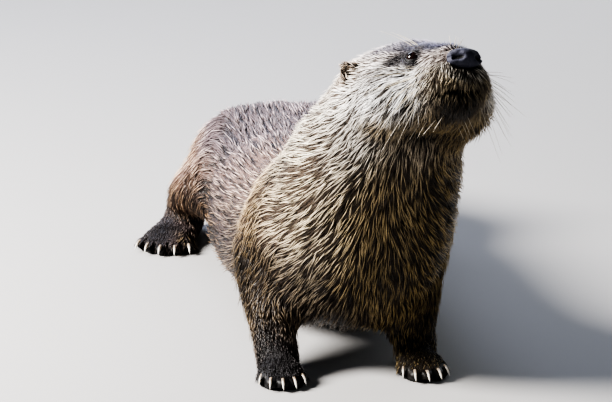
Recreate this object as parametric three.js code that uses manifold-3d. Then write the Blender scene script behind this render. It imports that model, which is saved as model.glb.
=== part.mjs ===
// A life-size river otter, low on four feet with its chest up and its head raised and turned to its left.
// Millimetres, +Z up, +X along the trunk towards the head, +Y to the animal's left; it stands on Z = 0.
// The flesh is one smooth distance field: tubes along the spine and limbs, rounded masses for the skull.
// Each named piece is that field meshed at its own cell size and parted from its neighbours by thin cuts.
import * as THREE from "three";
import { mergeVertices } from "three/addons/utils/BufferGeometryUtils.js";
import Module from "manifold-3d";

const wasm = await Module();
wasm.setup();

// ---------------------------------------------------------------- driving dimensions
const GAP = 0.4; // width of the cuts between neighbouring pieces
const SOLE_SINK = 2; // how far soles and tail reach below the floor before they are cut flat

// How softly neighbouring forms run into each other: the depth of the blend where they meet.
const BLEND = { tail: 24, belly: 26, head: 20, foot: 12, web: 5, toe: 3, earRim: 1.5 };

// Cell sizes of the meshed field along each piece and across it, smallest where the form is finest.
const CELL = {
  head: [10.8, 9.6, 9.2],
  ear: [4.2, 5.2, 5.2],
  nose: [4.8, 4.8, 4.8],
  neck: [21, 20, 18],
  trunk: [40, 28, 24],
  chest: [32, 29, 26],
  upper: [25, 22, 23],
  lower: [17, 15, 15],
  foot: [11.6, 8.1, 8.6],
  tail: [28, 17, 17],
  tailTip: [22, 10, 10],
};

// Spine stations from the hips to the skull: centre, half width and half height of the body, coat included.
const SPINE = [
  { at: [-362, 0, 64], wide: 44, high: 38 },
  { at: [-310, 0, 73], wide: 66, high: 48 },
  { at: [-235, 0, 74], wide: 77, high: 48 },
  { at: [-130, 0, 76], wide: 79, high: 56 },
  { at: [-40, 0, 81], wide: 77, high: 60 },
  { at: [40, 1, 92], wide: 74, high: 69 },
  { at: [94, 7, 110], wide: 78, high: 84 },
  { at: [128, 16, 162], wide: 75, high: 64 },
  { at: [150, 28, 206], wide: 61, high: 54 },
];

// The belly sags and spreads where the body rests low between the legs.
const BELLY = [
  { at: [-225, 0, 47], wide: 74, high: 32 },
  { at: [-150, 0, 46], wide: 90, high: 33 },
  { at: [-75, 0, 48], wide: 91, high: 35 },
  { at: [0, 0, 53], wide: 83, high: 39 },
];

// The tail lies on the floor and bends to the animal's left.
const TAIL = [
  { at: [-335, 0, 66], wide: 46, high: 40 },
  { at: [-400, 6, 40], wide: 35, high: 32 },
  { at: [-475, 28, 24], wide: 27, high: 25 },
  { at: [-560, 80, 17], wide: 20, high: 19 },
  { at: [-635, 150, 12], wide: 14, high: 14 },
  { at: [-680, 214, 8], wide: 8, high: 10 },
];

// Where the skull's centre stands and how the head is held.
const HEAD = { at: [174, 39, 241], yaw: 20, pitch: 27, roll: -10 };

// Masses of the head in its own frame: +X to the nose, +Y left, +Z up from the skull's centre.
const SKULL = [
  { at: [-2, 0, -1], size: [50, 45, 35.5], blend: 0 },
  { at: [-28, 0, -14], size: [32, 41, 36], blend: 16 },
  { at: [38, 0, -2], size: [42, 28, 22], blend: 12 },
  { at: [66, 0, -8], size: [24, 22, 18], blend: 10 },
  { at: [48, 0, -22], size: [38, 29, 20], blend: 12 },
];
const SKULL_PAIRS = [
  { at: [14, 31, -19], size: [38, 22, 28], blend: 14 }, // cheeks
  { at: [71, 13, -18], size: [17, 15, 14], blend: 7 }, // upper lips that carry the whiskers
  { at: [46, 17, 11], size: [14, 7, 6], blend: 8 }, // brows
];
const JAW = { at: [52, 0, -34], size: [33, 21, 13], blend: 7 };
const MOUTH = { from: -8, to: 110, halfWidth: 60, level: -28, depth: 50 };

const NOSE = { at: [90, 0, -2.5], size: [9, 15.5, 9.8] };
const NOSTRIL = { at: [96, 10.5, -2], size: [6.5, 3.4, 3.8], blend: 3 };
const EYE = { at: [51, 22.5, 5], radius: 6.5 };
const EAR = {
  at: [-12, 44, 8],
  size: [6.5, 12, 13],
  cup: [5.5, 8, 9],
  cupShift: [6.5, 1, 1.5],
  lean: [10, -18, 48],
};

// A leg: joints from the body down to the heel or wrist, the cuts it lies between, the disc that parts
// its upper half from the body, the block that holds its lower half, and its foot.
const LEGS = {
  fore: {
    blend: 18,
    joints: [
      { at: [88, 44, 124], wide: 32, high: 42 },
      { at: [64, 60, 84], wide: 27, high: 33 },
      { at: [92, 60, 52], wide: 22, high: 24 },
      { at: [122, 56, 26], wide: 18, high: 18 },
    ],
    between: ["chest", "neck"],
    haunch: { x: 84, z: 110, radius: 50, inner: 50, outer: 130 },
    shin: { x: [56, 172], y: [34, 112], z: [26, 64] },
    foot: {
      at: [124, 54],
      heading: 0,
      heel: { wide: 16, high: 16, rise: 13 },
      ball: { reach: 30, wide: 19.5, high: 10.5 },
      toes: { count: 5, reach: 20, spread: 32, radius: 6, back: [13, 3, 0, 3, 11] },
      claw: { length: 9, radius: 2.1 },
      box: { x: [-34, 92], y: 44, heelShare: 0.7 },
      top: 26,
    },
  },
  hind: {
    blend: 20,
    joints: [
      { at: [-285, 44, 84], wide: 36, high: 46 },
      { at: [-240, 66, 64], wide: 25, high: 32 },
      { at: [-290, 78, 46], wide: 21, high: 24 },
      { at: [-322, 76, 26], wide: 17, high: 17 },
    ],
    between: ["tailRoot", "rump"],
    haunch: { x: -268, z: 76, radius: 41, inner: 56, outer: 140 },
    shin: { x: [-350, -216], y: [44, 128], z: [24, 58] },
    foot: {
      at: [-326, 75],
      heading: 18,
      heel: { wide: 15, high: 17, rise: 14 },
      ball: { reach: 60, wide: 25, high: 10.5 },
      toes: { count: 5, reach: 30, spread: 34, radius: 6.8, back: [12, 4, 0, 2, 10] },
      claw: { length: 9.5, radius: 2.2 },
      box: { x: [-36, 122], y: 46, heelShare: 0.55 },
      top: 24,
    },
  },
};
// How each leg stands against the plan above: moved forward, moved out, its foot turned out in degrees.
const STANCE = {
  foreleg_right: { plan: "fore", side: -1, forward: 0, out: 5, turn: 3 },
  foreleg_left: { plan: "fore", side: 1, forward: -6, out: -3, turn: 4 },
  hindleg_right: { plan: "hind", side: -1, forward: 6, out: 7, turn: 4 },
  hindleg_left: { plan: "hind", side: 1, forward: -16, out: 0, turn: 0 },
};

// Cuts across the spine and tail: a point on the cut and the direction towards the head.
const CUTS = {
  tailTip: { at: [-598, 115, 14], along: [75, -66, 4] },
  tailMid: { at: [-485, 34, 24], along: [80, -34, 10] },
  tailRoot: { at: [-362, 2, 58], along: [70, -6, 24] },
  rump: { at: [-188, 0, 90], along: [1, 0, 0] },
  chest: { at: [-8, 0, 98], along: [1, 0, 0.06] },
  neck: { at: [112, 8, 148], along: [34, 10, 46] },
  head: { at: [155, 28, 215], along: [24, 12, 40] },
};

// Stretches of the body and of the tail, the cuts that end them, and the box in which each is meshed.
const SPINE_PIECES = [
  {
    name: "rump",
    behind: "rump",
    ahead: "tailRoot",
    box: [[-430, -130, 0], [-150, 130, 210]],
    cell: CELL.trunk,
  },
  {
    name: "trunk",
    behind: "chest",
    ahead: "rump",
    box: [[-240, -130, 0], [60, 130, 220]],
    cell: CELL.trunk,
  },
  {
    name: "chest",
    behind: "neck",
    ahead: "chest",
    box: [[-60, -130, 0], [230, 130, 260]],
    cell: CELL.chest,
  },
  {
    name: "neck",
    behind: "head",
    ahead: "neck",
    box: [[50, -90, 80], [270, 140, 300]],
    cell: CELL.neck,
  },
];
const TAIL_PIECES = [
  {
    name: "tail_base",
    behind: "tailRoot",
    ahead: "tailMid",
    at: [-420, 15, 40],
    turn: -16,
    box: [[-125, -70, -70], [125, 70, 90]],
    cell: CELL.tail,
  },
  {
    name: "tail_middle",
    behind: "tailMid",
    ahead: "tailTip",
    at: [-540, 72, 20],
    turn: -34,
    box: [[-125, -70, -70], [125, 70, 60]],
    cell: CELL.tail,
  },
  {
    name: "tail_tip",
    behind: "tailTip",
    at: [-640, 160, 14],
    turn: -50,
    box: [[-105, -70, -70], [105, 70, 60]],
    cell: CELL.tailTip,
  },
];
const HEAD_BOX = [[-75, -75, -85], [112, 75, 60]];
const NOSE_BOX = [[74, -26, -22], [108, 26, 18]];

const COLOUR = {
  fur: "#7d6a5a",
  paleFur: "#b9ab9c",
  legFur: "#5f5044",
  foot: "#231f20",
  nose: "#1d1c22",
  eye: "#120f10",
  claw: "#d8d0c4",
};

// ---------------------------------------------------------------- distance fields
const smoothMin = (a, b, blend) => {
  const h = Math.max(blend - Math.abs(a - b), 0);
  return Math.min(a, b) - (blend > 0 ? (h * h) / (4 * blend) : 0);
};
const smoothMax = (a, b, blend) => -smoothMin(-a, -b, blend);

// Distance from an offset to an ellipsoid of these half sizes, measured along the ray from its centre.
function ellipsoidDistance(x, y, z, [a, b, c]) {
  const length = Math.hypot(x, y, z);
  const share = Math.hypot(x / a, y / b, z / c);
  return share < 1e-6 ? -Math.min(a, b, c) : length * (1 - 1 / share);
}

// A tube of elliptical sections through the stations, smoothed along a Catmull-Rom curve.
function tubeField(stations, up = new THREE.Vector3(0, 0, 1), stepsBetween = 5) {
  const points = stations.map((s) => new THREE.Vector3(...s.at));
  const curve = new THREE.CatmullRomCurve3(points, false, "centripetal");
  const steps = (stations.length - 1) * stepsBetween;
  const rings = [];
  for (let i = 0; i <= steps; i++) {
    const u = (i / steps) * (stations.length - 1);
    const k = Math.min(Math.floor(u), stations.length - 2);
    const ease = THREE.MathUtils.smoothstep(u - k, 0, 1) * 0.5 + (u - k) * 0.5;
    rings.push({
      centre: curve.getPoint(i / steps),
      wide: THREE.MathUtils.lerp(stations[k].wide, stations[k + 1].wide, ease),
      high: THREE.MathUtils.lerp(stations[k].high, stations[k + 1].high, ease),
    });
  }
  const spans = rings.slice(1).map((end, i) => {
    const start = rings[i];
    const along = end.centre.clone().sub(start.centre);
    const length = along.length();
    along.normalize();
    const side = new THREE.Vector3().crossVectors(up, along).normalize();
    return { start, end, length, along, side, over: new THREE.Vector3().crossVectors(along, side) };
  });
  const offset = new THREE.Vector3();
  return (point) => {
    let nearest = Infinity;
    for (const { start, end, length, along, side, over } of spans) {
      offset.subVectors(point, start.centre);
      const reach = offset.dot(along);
      const t = THREE.MathUtils.clamp(reach / length, 0, 1);
      const wide = start.wide + (end.wide - start.wide) * t;
      const high = start.high + (end.high - start.high) * t;
      const past = reach - t * length;
      const size = [Math.min(wide, high), wide, high];
      nearest = Math.min(nearest, ellipsoidDistance(past, offset.dot(side), offset.dot(over), size));
    }
    return nearest;
  };
}

const mirrored = ([x, y, z], side) => [x, y * side, z];

// The corners of a cell of unit size, and its twelve edges as pairs of corner numbers.
const CORNERS = [0, 1].flatMap((c) => [0, 1].flatMap((b) => [0, 1].map((a) => [a, b, c])));
const cornersBeside = (n) => [1, 2, 4].filter((bit) => !(n & bit)).map((bit) => n + bit);
const CELL_EDGES = CORNERS.flatMap((_, n) => cornersBeside(n).map((m) => [n, m]));

const degrees = THREE.MathUtils.degToRad;

// ---------------------------------------------------------------- head
const headFrame = new THREE.Matrix4().compose(
  new THREE.Vector3(...HEAD.at),
  new THREE.Quaternion().setFromEuler(
    new THREE.Euler(degrees(HEAD.roll), -degrees(HEAD.pitch), degrees(HEAD.yaw), "ZYX"),
  ),
  new THREE.Vector3(1, 1, 1),
);
const intoHead = headFrame.clone().invert();

function massField({ at, size, blend }, side = 1) {
  const [x, y, z] = mirrored(at, side);
  return { blend, distance: (p) => ellipsoidDistance(p.x - x, p.y - y, p.z - z, size) };
}
const headMasses = [
  ...SKULL.map((m) => massField(m)),
  ...SKULL_PAIRS.flatMap((m) => [massField(m, 1), massField(m, -1)]),
  massField(JAW),
];
const headPoint = new THREE.Vector3();
function headField(point) {
  headPoint.copy(point).applyMatrix4(intoHead);
  return headMasses.reduce((d, m) => smoothMin(d, m.distance(headPoint), m.blend), 1e3);
}

function noseField(p) {
  let d = ellipsoidDistance(p.x - NOSE.at[0], p.y - NOSE.at[1], p.z - NOSE.at[2], NOSE.size);
  for (const side of [1, -1]) {
    const [x, y, z] = mirrored(NOSTRIL.at, side);
    d = smoothMax(d, -ellipsoidDistance(p.x - x, p.y - y, p.z - z, NOSTRIL.size), NOSTRIL.blend);
  }
  return d;
}

// An ear: a rounded shell whose hollow faces forward and out.
function earField(side) {
  const lean = EAR.lean.map(degrees);
  const frame = new THREE.Matrix4()
    .makeRotationFromEuler(new THREE.Euler(lean[0] * side, lean[1], -lean[2] * side, "ZYX"))
    .setPosition(...mirrored(EAR.at, side));
  const intoEar = frame.invert();
  const p = new THREE.Vector3();
  return (point) => {
    p.copy(point).applyMatrix4(intoEar);
    const shell = ellipsoidDistance(p.x, p.y, p.z, EAR.size);
    const [cx, cy, cz] = EAR.cupShift;
    const cup = ellipsoidDistance(p.x - cx, p.y - cy * side, p.z - cz, EAR.cup);
    return smoothMax(shell, -cup, BLEND.earRim);
  };
}

// ---------------------------------------------------------------- legs and feet
// A foot's frame: origin on the floor under its heel or wrist, +X to the toes.
function footFrame(plan, stance) {
  const turn = degrees(plan.foot.heading + stance.turn) * stance.side;
  const [x, y] = plan.foot.at;
  return new THREE.Matrix4()
    .makeRotationZ(turn)
    .setPosition(x + stance.forward, (y + stance.out) * stance.side, 0);
}

// The toes fan out from the ball of the foot; each is a short tube with a raised knuckle.
function toeLines({ ball, toes }) {
  return toes.back.map((back, i) => {
    const share = i / (toes.count - 1) - 0.5;
    const angle = degrees(toes.spread) * share;
    const root = [ball.reach - 6, ball.wide * 1.25 * share];
    const reach = toes.reach + 8 - back;
    const point = (part, height) => [
      root[0] + Math.cos(angle) * reach * part,
      root[1] + Math.sin(angle) * reach * part,
      height,
    ];
    return {
      angle,
      root: point(0, ball.high - 1),
      knuckle: point(0.55, toes.radius + 2),
      tip: point(1, toes.radius - SOLE_SINK),
    };
  });
}

function footField(plan, stance) {
  const { heel, ball, toes } = plan.foot;
  const arch = { wide: (heel.wide + ball.wide) / 2, high: (heel.high + ball.high) / 2 };
  const pad = tubeField([
    { at: [0, 0, heel.rise], wide: heel.wide, high: heel.high },
    { at: [ball.reach * 0.5, 0, heel.rise * 0.72], wide: arch.wide, high: arch.high },
    { at: [ball.reach, 0, ball.high - SOLE_SINK], wide: ball.wide, high: ball.high },
  ]);
  const web = [ball.reach + toes.reach * 0.35, 0, 3];
  const webSize = [toes.reach * 0.9, ball.wide * 1.12, 5];
  const lines = toeLines(plan.foot).map((line) =>
    tubeField([
      { at: line.root, wide: toes.radius, high: toes.radius },
      { at: line.knuckle, wide: toes.radius * 0.92, high: toes.radius },
      { at: line.tip, wide: toes.radius * 0.9, high: toes.radius * 0.9 },
    ], undefined, 2),
  );
  const intoFoot = footFrame(plan, stance).invert();
  const p = new THREE.Vector3();
  return (point) => {
    p.copy(point).applyMatrix4(intoFoot);
    if (Math.hypot(p.x - ball.reach, p.y, p.z) > 220) return p.length() - 120;
    const webbing = ellipsoidDistance(p.x - web[0], p.y - web[1], p.z - web[2], webSize);
    let d = smoothMin(pad(p), webbing, BLEND.web);
    for (const toe of lines) d = smoothMin(d, toe(p), BLEND.toe);
    return d;
  };
}

function makeLeg(name, stance) {
  const plan = LEGS[stance.plan];
  const joints = plan.joints.map((j, i) => {
    const share = i / (plan.joints.length - 1);
    const at = [j.at[0] + stance.forward * share, (j.at[1] + stance.out * share) * stance.side, j.at[2]];
    return { at, wide: j.wide, high: j.high };
  });
  return {
    name,
    plan,
    stance,
    blend: plan.blend,
    limb: tubeField(joints, new THREE.Vector3(1, 0, 0.3).normalize()),
    foot: footField(plan, stance),
    frame: footFrame(plan, stance),
  };
}
const legs = Object.entries(STANCE).map(([name, stance]) => makeLeg(name, stance));

// ---------------------------------------------------------------- the whole body
const spineField = tubeField(SPINE);
const bellyField = tubeField(BELLY);
const tailField = tubeField(TAIL);
// Near its root the tail blends into the rump. Its own pieces leave out the feet, which would join it.
function tailPieceField(point) {
  return smoothMin(spineField(point), tailField(point), BLEND.tail);
}
function fleshField(point) {
  let d = tailPieceField(point);
  d = smoothMin(d, bellyField(point), BLEND.belly);
  d = smoothMin(d, headField(point), BLEND.head);
  for (const leg of legs) {
    const limb = smoothMin(leg.limb(point), leg.foot(point), BLEND.foot);
    d = smoothMin(d, limb, leg.blend);
  }
  return d;
}

// ---------------------------------------------------------------- meshing
// Surface nets: one vertex in each cell that the surface crosses, moved onto the surface, and a quad round
// each crossed edge. Box is [low corner, high corner] in the given frame, and cell is a cell's size by axis.
function meshField(field, [low, high], cell, frame = new THREE.Matrix4()) {
  const counts = low.map((l, i) => Math.max(2, Math.ceil((high[i] - l) / cell[i])) + 1);
  const [nx, ny, nz] = counts;
  const finest = Math.min(...cell);
  const index = (i, j, k) => i + nx * (j + ny * k);
  const place = (i, j, k) =>
    new THREE.Vector3(low[0] + i * cell[0], low[1] + j * cell[1], low[2] + k * cell[2]).applyMatrix4(frame);
  const values = new Float64Array(nx * ny * nz);
  const valueAt = (i, j, k, [a, b, c]) => values[index(i + a, j + b, k + c)];
  const eachCorner = (reach, visit) => {
    for (let k = 0; k < nz - reach; k++)
      for (let j = 0; j < ny - reach; j++)
        for (let i = 0; i < nx - reach; i++) visit(i, j, k);
  };
  // Outside the box nothing is solid, so the walls count as just outside.
  eachCorner(0, (i, j, k) => {
    const wall = i === 0 || j === 0 || k === 0 || i === nx - 1 || j === ny - 1 || k === nz - 1;
    const value = field(place(i, j, k));
    values[index(i, j, k)] = wall ? Math.max(value, finest * 0.5) : value;
  });

  // A cell has one vertex for each separate group of its corners that lies inside the solid.
  const isIn = (i, j, k) => values[index(i, j, k)] < 0;
  const vertices = [];
  const verticesOf = new Map();
  eachCorner(1, (i, j, k) => {
    const groups = insideGroups(CORNERS.map(([a, b, c]) => isIn(i + a, j + b, k + c)));
    const atWall = i === 0 || j === 0 || k === 0 || i === nx - 2 || j === ny - 2 || k === nz - 2;
    const ofCorner = [];
    for (const group of new Set(groups.filter((g) => g >= 0))) {
      const sum = new THREE.Vector3();
      let crossings = 0;
      for (const [a, b] of CELL_EDGES) {
        const [ga, gb] = [groups[a], groups[b]];
        if ((ga < 0) === (gb < 0) || (ga !== group && gb !== group)) continue;
        const [va, vb] = [a, b].map((n) => valueAt(i, j, k, CORNERS[n]));
        const t = va / (va - vb);
        sum.add(new THREE.Vector3(...CORNERS[a]).lerp(new THREE.Vector3(...CORNERS[b]), t));
        crossings += 1;
      }
      if (!crossings) continue;
      const spot = sum.divideScalar(crossings).add(new THREE.Vector3(i, j, k));
      const vertex = place(...spot.toArray());
      if (!atWall) moveOntoSurface(vertex, field, finest);
      groups.forEach((g, n) => {
        if (g === group) ofCorner[n] = vertices.length;
      });
      vertices.push(vertex);
    }
    if (ofCorner.length) verticesOf.set(index(i, j, k), ofCorner);
  });

  // A quad joins the four cells round each crossed edge, and is split along its shorter diagonal.
  const triangles = [];
  eachCorner(1, (i, j, k) => {
    const here = isIn(i, j, k);
    for (const axis of [0, 1, 2]) {
      const along = [0, 0, 0];
      along[axis] = 1;
      if (here === isIn(i + along[0], j + along[1], k + along[2])) continue;
      const ring = [[0, 0], [1, 0], [1, 1], [0, 1]].map(([u, v]) => {
        const corner = [0, 0, 0];
        corner[(axis + 1) % 3] = u;
        corner[(axis + 2) % 3] = v;
        const cellVertices = verticesOf.get(index(i - corner[0], j - corner[1], k - corner[2]));
        corner[axis] = here ? 0 : 1;
        return cellVertices[corner[0] + 2 * corner[1] + 4 * corner[2]];
      });
      const [a, b, c, d] = here ? ring : ring.reverse();
      const short = vertices[a].distanceTo(vertices[c]) < vertices[b].distanceTo(vertices[d]);
      triangles.push(...(short ? [a, b, c, a, c, d] : [a, b, d, b, c, d]));
    }
  });
  return new THREE.BufferGeometry().setFromPoints(vertices).setIndex(triangles);
}

// Numbers the groups of inside corners that a cell's edges join, with -1 for a corner outside.
function insideGroups(inside) {
  const groups = inside.map((isInside, n) => (isInside ? n : -1));
  for (let pass = 0; pass < 3; pass++) {
    for (const [a, b] of CELL_EDGES) {
      if (inside[a] && inside[b]) groups[a] = groups[b] = Math.min(groups[a], groups[b]);
    }
  }
  return groups;
}

// Newton steps along the field's own slope, kept within half a cell.
function moveOntoSurface(vertex, field, cell) {
  const start = vertex.clone();
  const step = cell * 0.05;
  const probe = new THREE.Vector3();
  const rise = (axis) => field(probe.copy(vertex).setComponent(axis, vertex.getComponent(axis) + step));
  for (let n = 0; n < 3; n++) {
    const here = field(vertex);
    const slope = new THREE.Vector3(rise(0) - here, rise(1) - here, rise(2) - here).divideScalar(step);
    vertex.addScaledVector(slope, -here / Math.max(slope.lengthSq(), 0.2));
  }
  vertex.sub(start).clampLength(0, cell * 0.5).add(start);
}

// ---------------------------------------------------------------- solids
function solidOf(geometry) {
  const bare = geometry.clone();
  bare.deleteAttribute("normal");
  bare.deleteAttribute("uv");
  const merged = mergeVertices(bare, 1e-4);
  return new wasm.Manifold(new wasm.Mesh({
    numProp: 3,
    vertProperties: merged.attributes.position.array,
    triVerts: new Uint32Array(merged.index.array),
  }));
}

function geometryOf(solid) {
  const { numProp, numVert, vertProperties, triVerts } = solid.getMesh();
  const positions = new Float32Array(numVert * 3);
  for (let i = 0; i < numVert; i++) {
    positions.set(vertProperties.subarray(i * numProp, i * numProp + 3), i * 3);
  }
  const geometry = new THREE.BufferGeometry();
  geometry.setAttribute("position", new THREE.BufferAttribute(positions, 3));
  geometry.setIndex(new THREE.BufferAttribute(new Uint32Array(triVerts), 1));
  geometry.computeVertexNormals();
  return geometry;
}

// The same shape with every corner pushed out along its normal.
function swollen(geometry, by) {
  const position = geometry.attributes.position;
  const normal = geometry.attributes.normal;
  for (let i = 0; i < position.count; i++) {
    position.setXYZ(
      i,
      position.getX(i) + normal.getX(i) * by,
      position.getY(i) + normal.getY(i) * by,
      position.getZ(i) + normal.getZ(i) * by,
    );
  }
  return geometry;
}

// A block between two corners, grown on every side.
function block([low, high], grow = 0, frame = new THREE.Matrix4()) {
  const size = high.map((h, i) => h - low[i] + 2 * grow);
  const centre = high.map((h, i) => (h + low[i]) / 2);
  return solidOf(new THREE.BoxGeometry(...size).translate(...centre).applyMatrix4(frame));
}

// The space on one side of a cut across the spine: ahead of it with sign 1, behind it with -1.
function besideCut({ at, along }, sign) {
  const half = 420;
  const turn = new THREE.Quaternion().setFromUnitVectors(
    new THREE.Vector3(1, 0, 0),
    new THREE.Vector3(...along).normalize().multiplyScalar(sign),
  );
  const frame = new THREE.Matrix4().compose(new THREE.Vector3(...at), turn, new THREE.Vector3(1, 1, 1));
  return block([[GAP / 2, -half, -half], [2 * half, half, half]], 0, frame);
}

const aboveFloor = block([[-900, -400, 0], [500, 500, 400]]);

// A disc beside the body that parts a shoulder or haunch from the trunk.
function haunchDisc({ plan, stance }, grow) {
  const { x, z, radius, inner, outer } = plan.haunch;
  const length = outer - inner + grow;
  return solidOf(
    new THREE.CylinderGeometry(radius + grow, radius + grow, length, 28)
      .translate(x + stance.forward * 0.3, (outer + inner - grow) / 2 * stance.side, z),
  );
}

// The block that holds a lower leg, and the one that holds a foot, narrower at the heel.
function shinBlock({ plan, stance }, grow) {
  const { x, y, z } = plan.shin;
  const ys = y.map((v) => v * stance.side).sort((a, b) => a - b);
  return block([[x[0], ys[0], z[0]], [x[1], ys[1], z[1]]], grow);
}
function footBlock({ plan, frame }, grow) {
  const { box, top } = plan.foot;
  const [back, front] = [box.x[0] - grow, box.x[1] + grow];
  const below = 20;
  const geometry = new THREE.BoxGeometry(front - back, 2, top + grow + below)
    .translate((front + back) / 2, 0, (top + grow - below) / 2);
  const position = geometry.attributes.position;
  for (let i = 0; i < position.count; i++) {
    const share = position.getX(i) < 0 ? box.heelShare : 1;
    position.setY(i, position.getY(i) * (box.y * share + grow));
  }
  return solidOf(geometry.applyMatrix4(frame));
}

// ---------------------------------------------------------------- pieces
const pieces = [];
const addPiece = (name, solid, colour, roughness) => pieces.push({ name, solid, colour, roughness });
const addFur = (name, solid, colour = COLOUR.fur) => addPiece(name, solid, colour, 0.75);

function makeSpinePieces() {
  const legSpaces = legs.flatMap((leg) => [
    haunchDisc(leg, GAP / 2),
    shinBlock(leg, GAP / 2),
    footBlock(leg, GAP / 2),
  ]);
  for (const { name, behind, ahead, box, cell } of SPINE_PIECES) {
    let solid = solidOf(meshField(fleshField, box, cell))
      .intersect(besideCut(CUTS[behind], -1))
      .intersect(besideCut(CUTS[ahead], 1));
    if (name !== "neck") for (const space of legSpaces) solid = solid.subtract(space);
    addFur(name, largestOf(solid.intersect(aboveFloor)));
  }
}

function makeTailPieces() {
  for (const { name, behind, ahead, at, turn, box, cell } of TAIL_PIECES) {
    const frame = new THREE.Matrix4().makeRotationZ(degrees(turn)).setPosition(...at);
    let solid = solidOf(meshField(tailPieceField, box, cell, frame));
    solid = solid.intersect(besideCut(CUTS[behind], -1));
    if (ahead) solid = solid.intersect(besideCut(CUTS[ahead], 1));
    addFur(name, largestOf(solid.intersect(aboveFloor)), COLOUR.legFur);
  }
}
function makeHeadPieces() {
  const { from, to, halfWidth, level, depth } = MOUTH;
  const mouth = [[from, -halfWidth, level - depth], [to, halfWidth, level]];
  const skull = solidOf(meshField(fleshField, HEAD_BOX, CELL.head, headFrame))
    .intersect(besideCut(CUTS.head, 1));
  let head = skull.subtract(block(mouth, GAP / 2, headFrame));
  const jaw = skull.intersect(block(mouth, -GAP / 2, headFrame));

  // Each small piece sits in a socket cut by its own shape, swollen by the gap.
  const seat = (name, geometry, colour, roughness) => {
    const solid = largestOf(solidOf(geometry.applyMatrix4(headFrame)));
    head = head.subtract(solidOf(swollen(geometryOf(solid), GAP)));
    addPiece(name, solid, colour, roughness);
  };
  seat("nose", meshField(noseField, NOSE_BOX, CELL.nose), COLOUR.nose, 0.4);
  for (const [word, side] of [["left", 1], ["right", -1]]) {
    const eye = new THREE.SphereGeometry(EYE.radius, 9, 6).translate(...mirrored(EYE.at, side));
    seat("eye_" + word, eye, COLOUR.eye, 0.1);
    const [x, y, z] = mirrored(EAR.at, side);
    const earBox = [[x - 20, y - 22, z - 20], [x + 20, y + 22, z + 22]];
    seat("ear_" + word, meshField(earField(side), earBox, CELL.ear), COLOUR.fur, 0.75);
  }
  addFur("head", largestOf(head), COLOUR.paleFur);
  addFur("lower_jaw", largestOf(jaw), COLOUR.paleFur);
}

function makeLegPieces(leg) {
  const { name, plan, stance, frame } = leg;
  const haunch = plan.haunch;
  const [behind, ahead] = plan.between;
  const stretch = besideCut(CUTS[behind], 1).intersect(besideCut(CUTS[ahead], -1));
  const sideways = (inner, outer) => [inner, outer].map((v) => v * stance.side).sort((a, b) => a - b);

  const upperYs = sideways(haunch.inner - 26, haunch.outer);
  const upperReach = haunch.radius + 30;
  const upperBox = [
    [haunch.x - upperReach, upperYs[0], haunch.z - upperReach],
    [haunch.x + upperReach, upperYs[1], haunch.z + upperReach],
  ];
  const upper = solidOf(meshField(fleshField, upperBox, CELL.upper))
    .intersect(stretch)
    .intersect(haunchDisc(leg, -GAP / 2))
    .subtract(shinBlock(leg, GAP / 2));
  addFur(name + "_upper", largestOf(upper));

  const { x, y, z } = plan.shin;
  const lowerYs = sideways(y[0] - 18, y[1] + 10);
  const lowerBox = [[x[0] - 18, lowerYs[0], z[0] - 18], [x[1] + 18, lowerYs[1], z[1] + 18]];
  const lower = solidOf(meshField(fleshField, lowerBox, CELL.lower))
    .intersect(stretch)
    .intersect(shinBlock(leg, -GAP / 2));
  addFur(name + "_lower", largestOf(lower), COLOUR.legFur);

  const { box, top } = plan.foot;
  const footSpace = [[box.x[0] - 10, -box.y - 10, -18], [box.x[1] + 10, box.y + 10, top + 12]];
  let foot = solidOf(meshField(fleshField, footSpace, CELL.foot, frame))
    .intersect(footBlock(leg, -GAP / 2))
    .intersect(aboveFloor);
  toeLines(plan.foot).forEach((line, i) => {
    foot = foot.subtract(clawSolid(plan.foot, line, frame, GAP));
    addPiece(name + "_claw_" + (i + 1), clawSolid(plan.foot, line, frame, 0), COLOUR.claw, 0.35);
  });
  addPiece(name + "_foot", largestOf(foot), COLOUR.foot, 0.5);
}

// A claw: a cone whose tip bends down, rooted in the top of the toe's end.
function clawSolid({ claw, toes }, line, frame, grow) {
  const { length, radius } = claw;
  const rooted = 4;
  const sides = 5;
  const bend = 0.028;
  const droop = degrees(12);
  const profile = [
    [0, -rooted - grow],
    [radius + grow, -rooted - grow],
    [radius * 0.85 + grow, length * 0.45],
    [0, length + grow],
  ];
  const cone = new THREE.LatheGeometry(profile.map(([r, h]) => new THREE.Vector2(r, h)), sides);
  cone.rotateZ(-Math.PI / 2);
  const position = cone.attributes.position;
  for (let i = 0; i < position.count; i++) {
    const reach = Math.max(position.getX(i), 0);
    position.setZ(i, position.getZ(i) - bend * reach * reach);
  }
  cone.rotateY(droop).rotateZ(line.angle);
  const [x, y] = line.tip;
  const start = toes.radius * 0.45;
  cone.translate(x + Math.cos(line.angle) * start, y + Math.sin(line.angle) * start, toes.radius + 0.6);
  return solidOf(cone.applyMatrix4(frame));
}

function largestOf(solid) {
  return solid.decompose().sort((a, b) => b.volume() - a.volume())[0];
}

makeSpinePieces();
makeTailPieces();
makeHeadPieces();
legs.forEach(makeLegPieces);

// ---------------------------------------------------------------- the model
const otter = new THREE.Group();
const bounds = new THREE.Box3();
for (const { name, solid, colour, roughness } of pieces) {
  const material = new THREE.MeshStandardMaterial({ color: colour, roughness, metalness: 0 });
  const mesh = new THREE.Mesh(geometryOf(solid), material);
  mesh.name = name;
  otter.add(mesh);
  bounds.expandByObject(mesh);
}
// The origin is the middle of the whole animal, on the floor.
const middle = bounds.getCenter(new THREE.Vector3());
for (const mesh of otter.children) mesh.position.set(-middle.x, -middle.y, 0);

export default otter;
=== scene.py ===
"""The looks of a life-size river otter: one skin under a damp coat, with eyes, nose, claws and whiskers."""
import math
from collections import namedtuple

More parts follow.
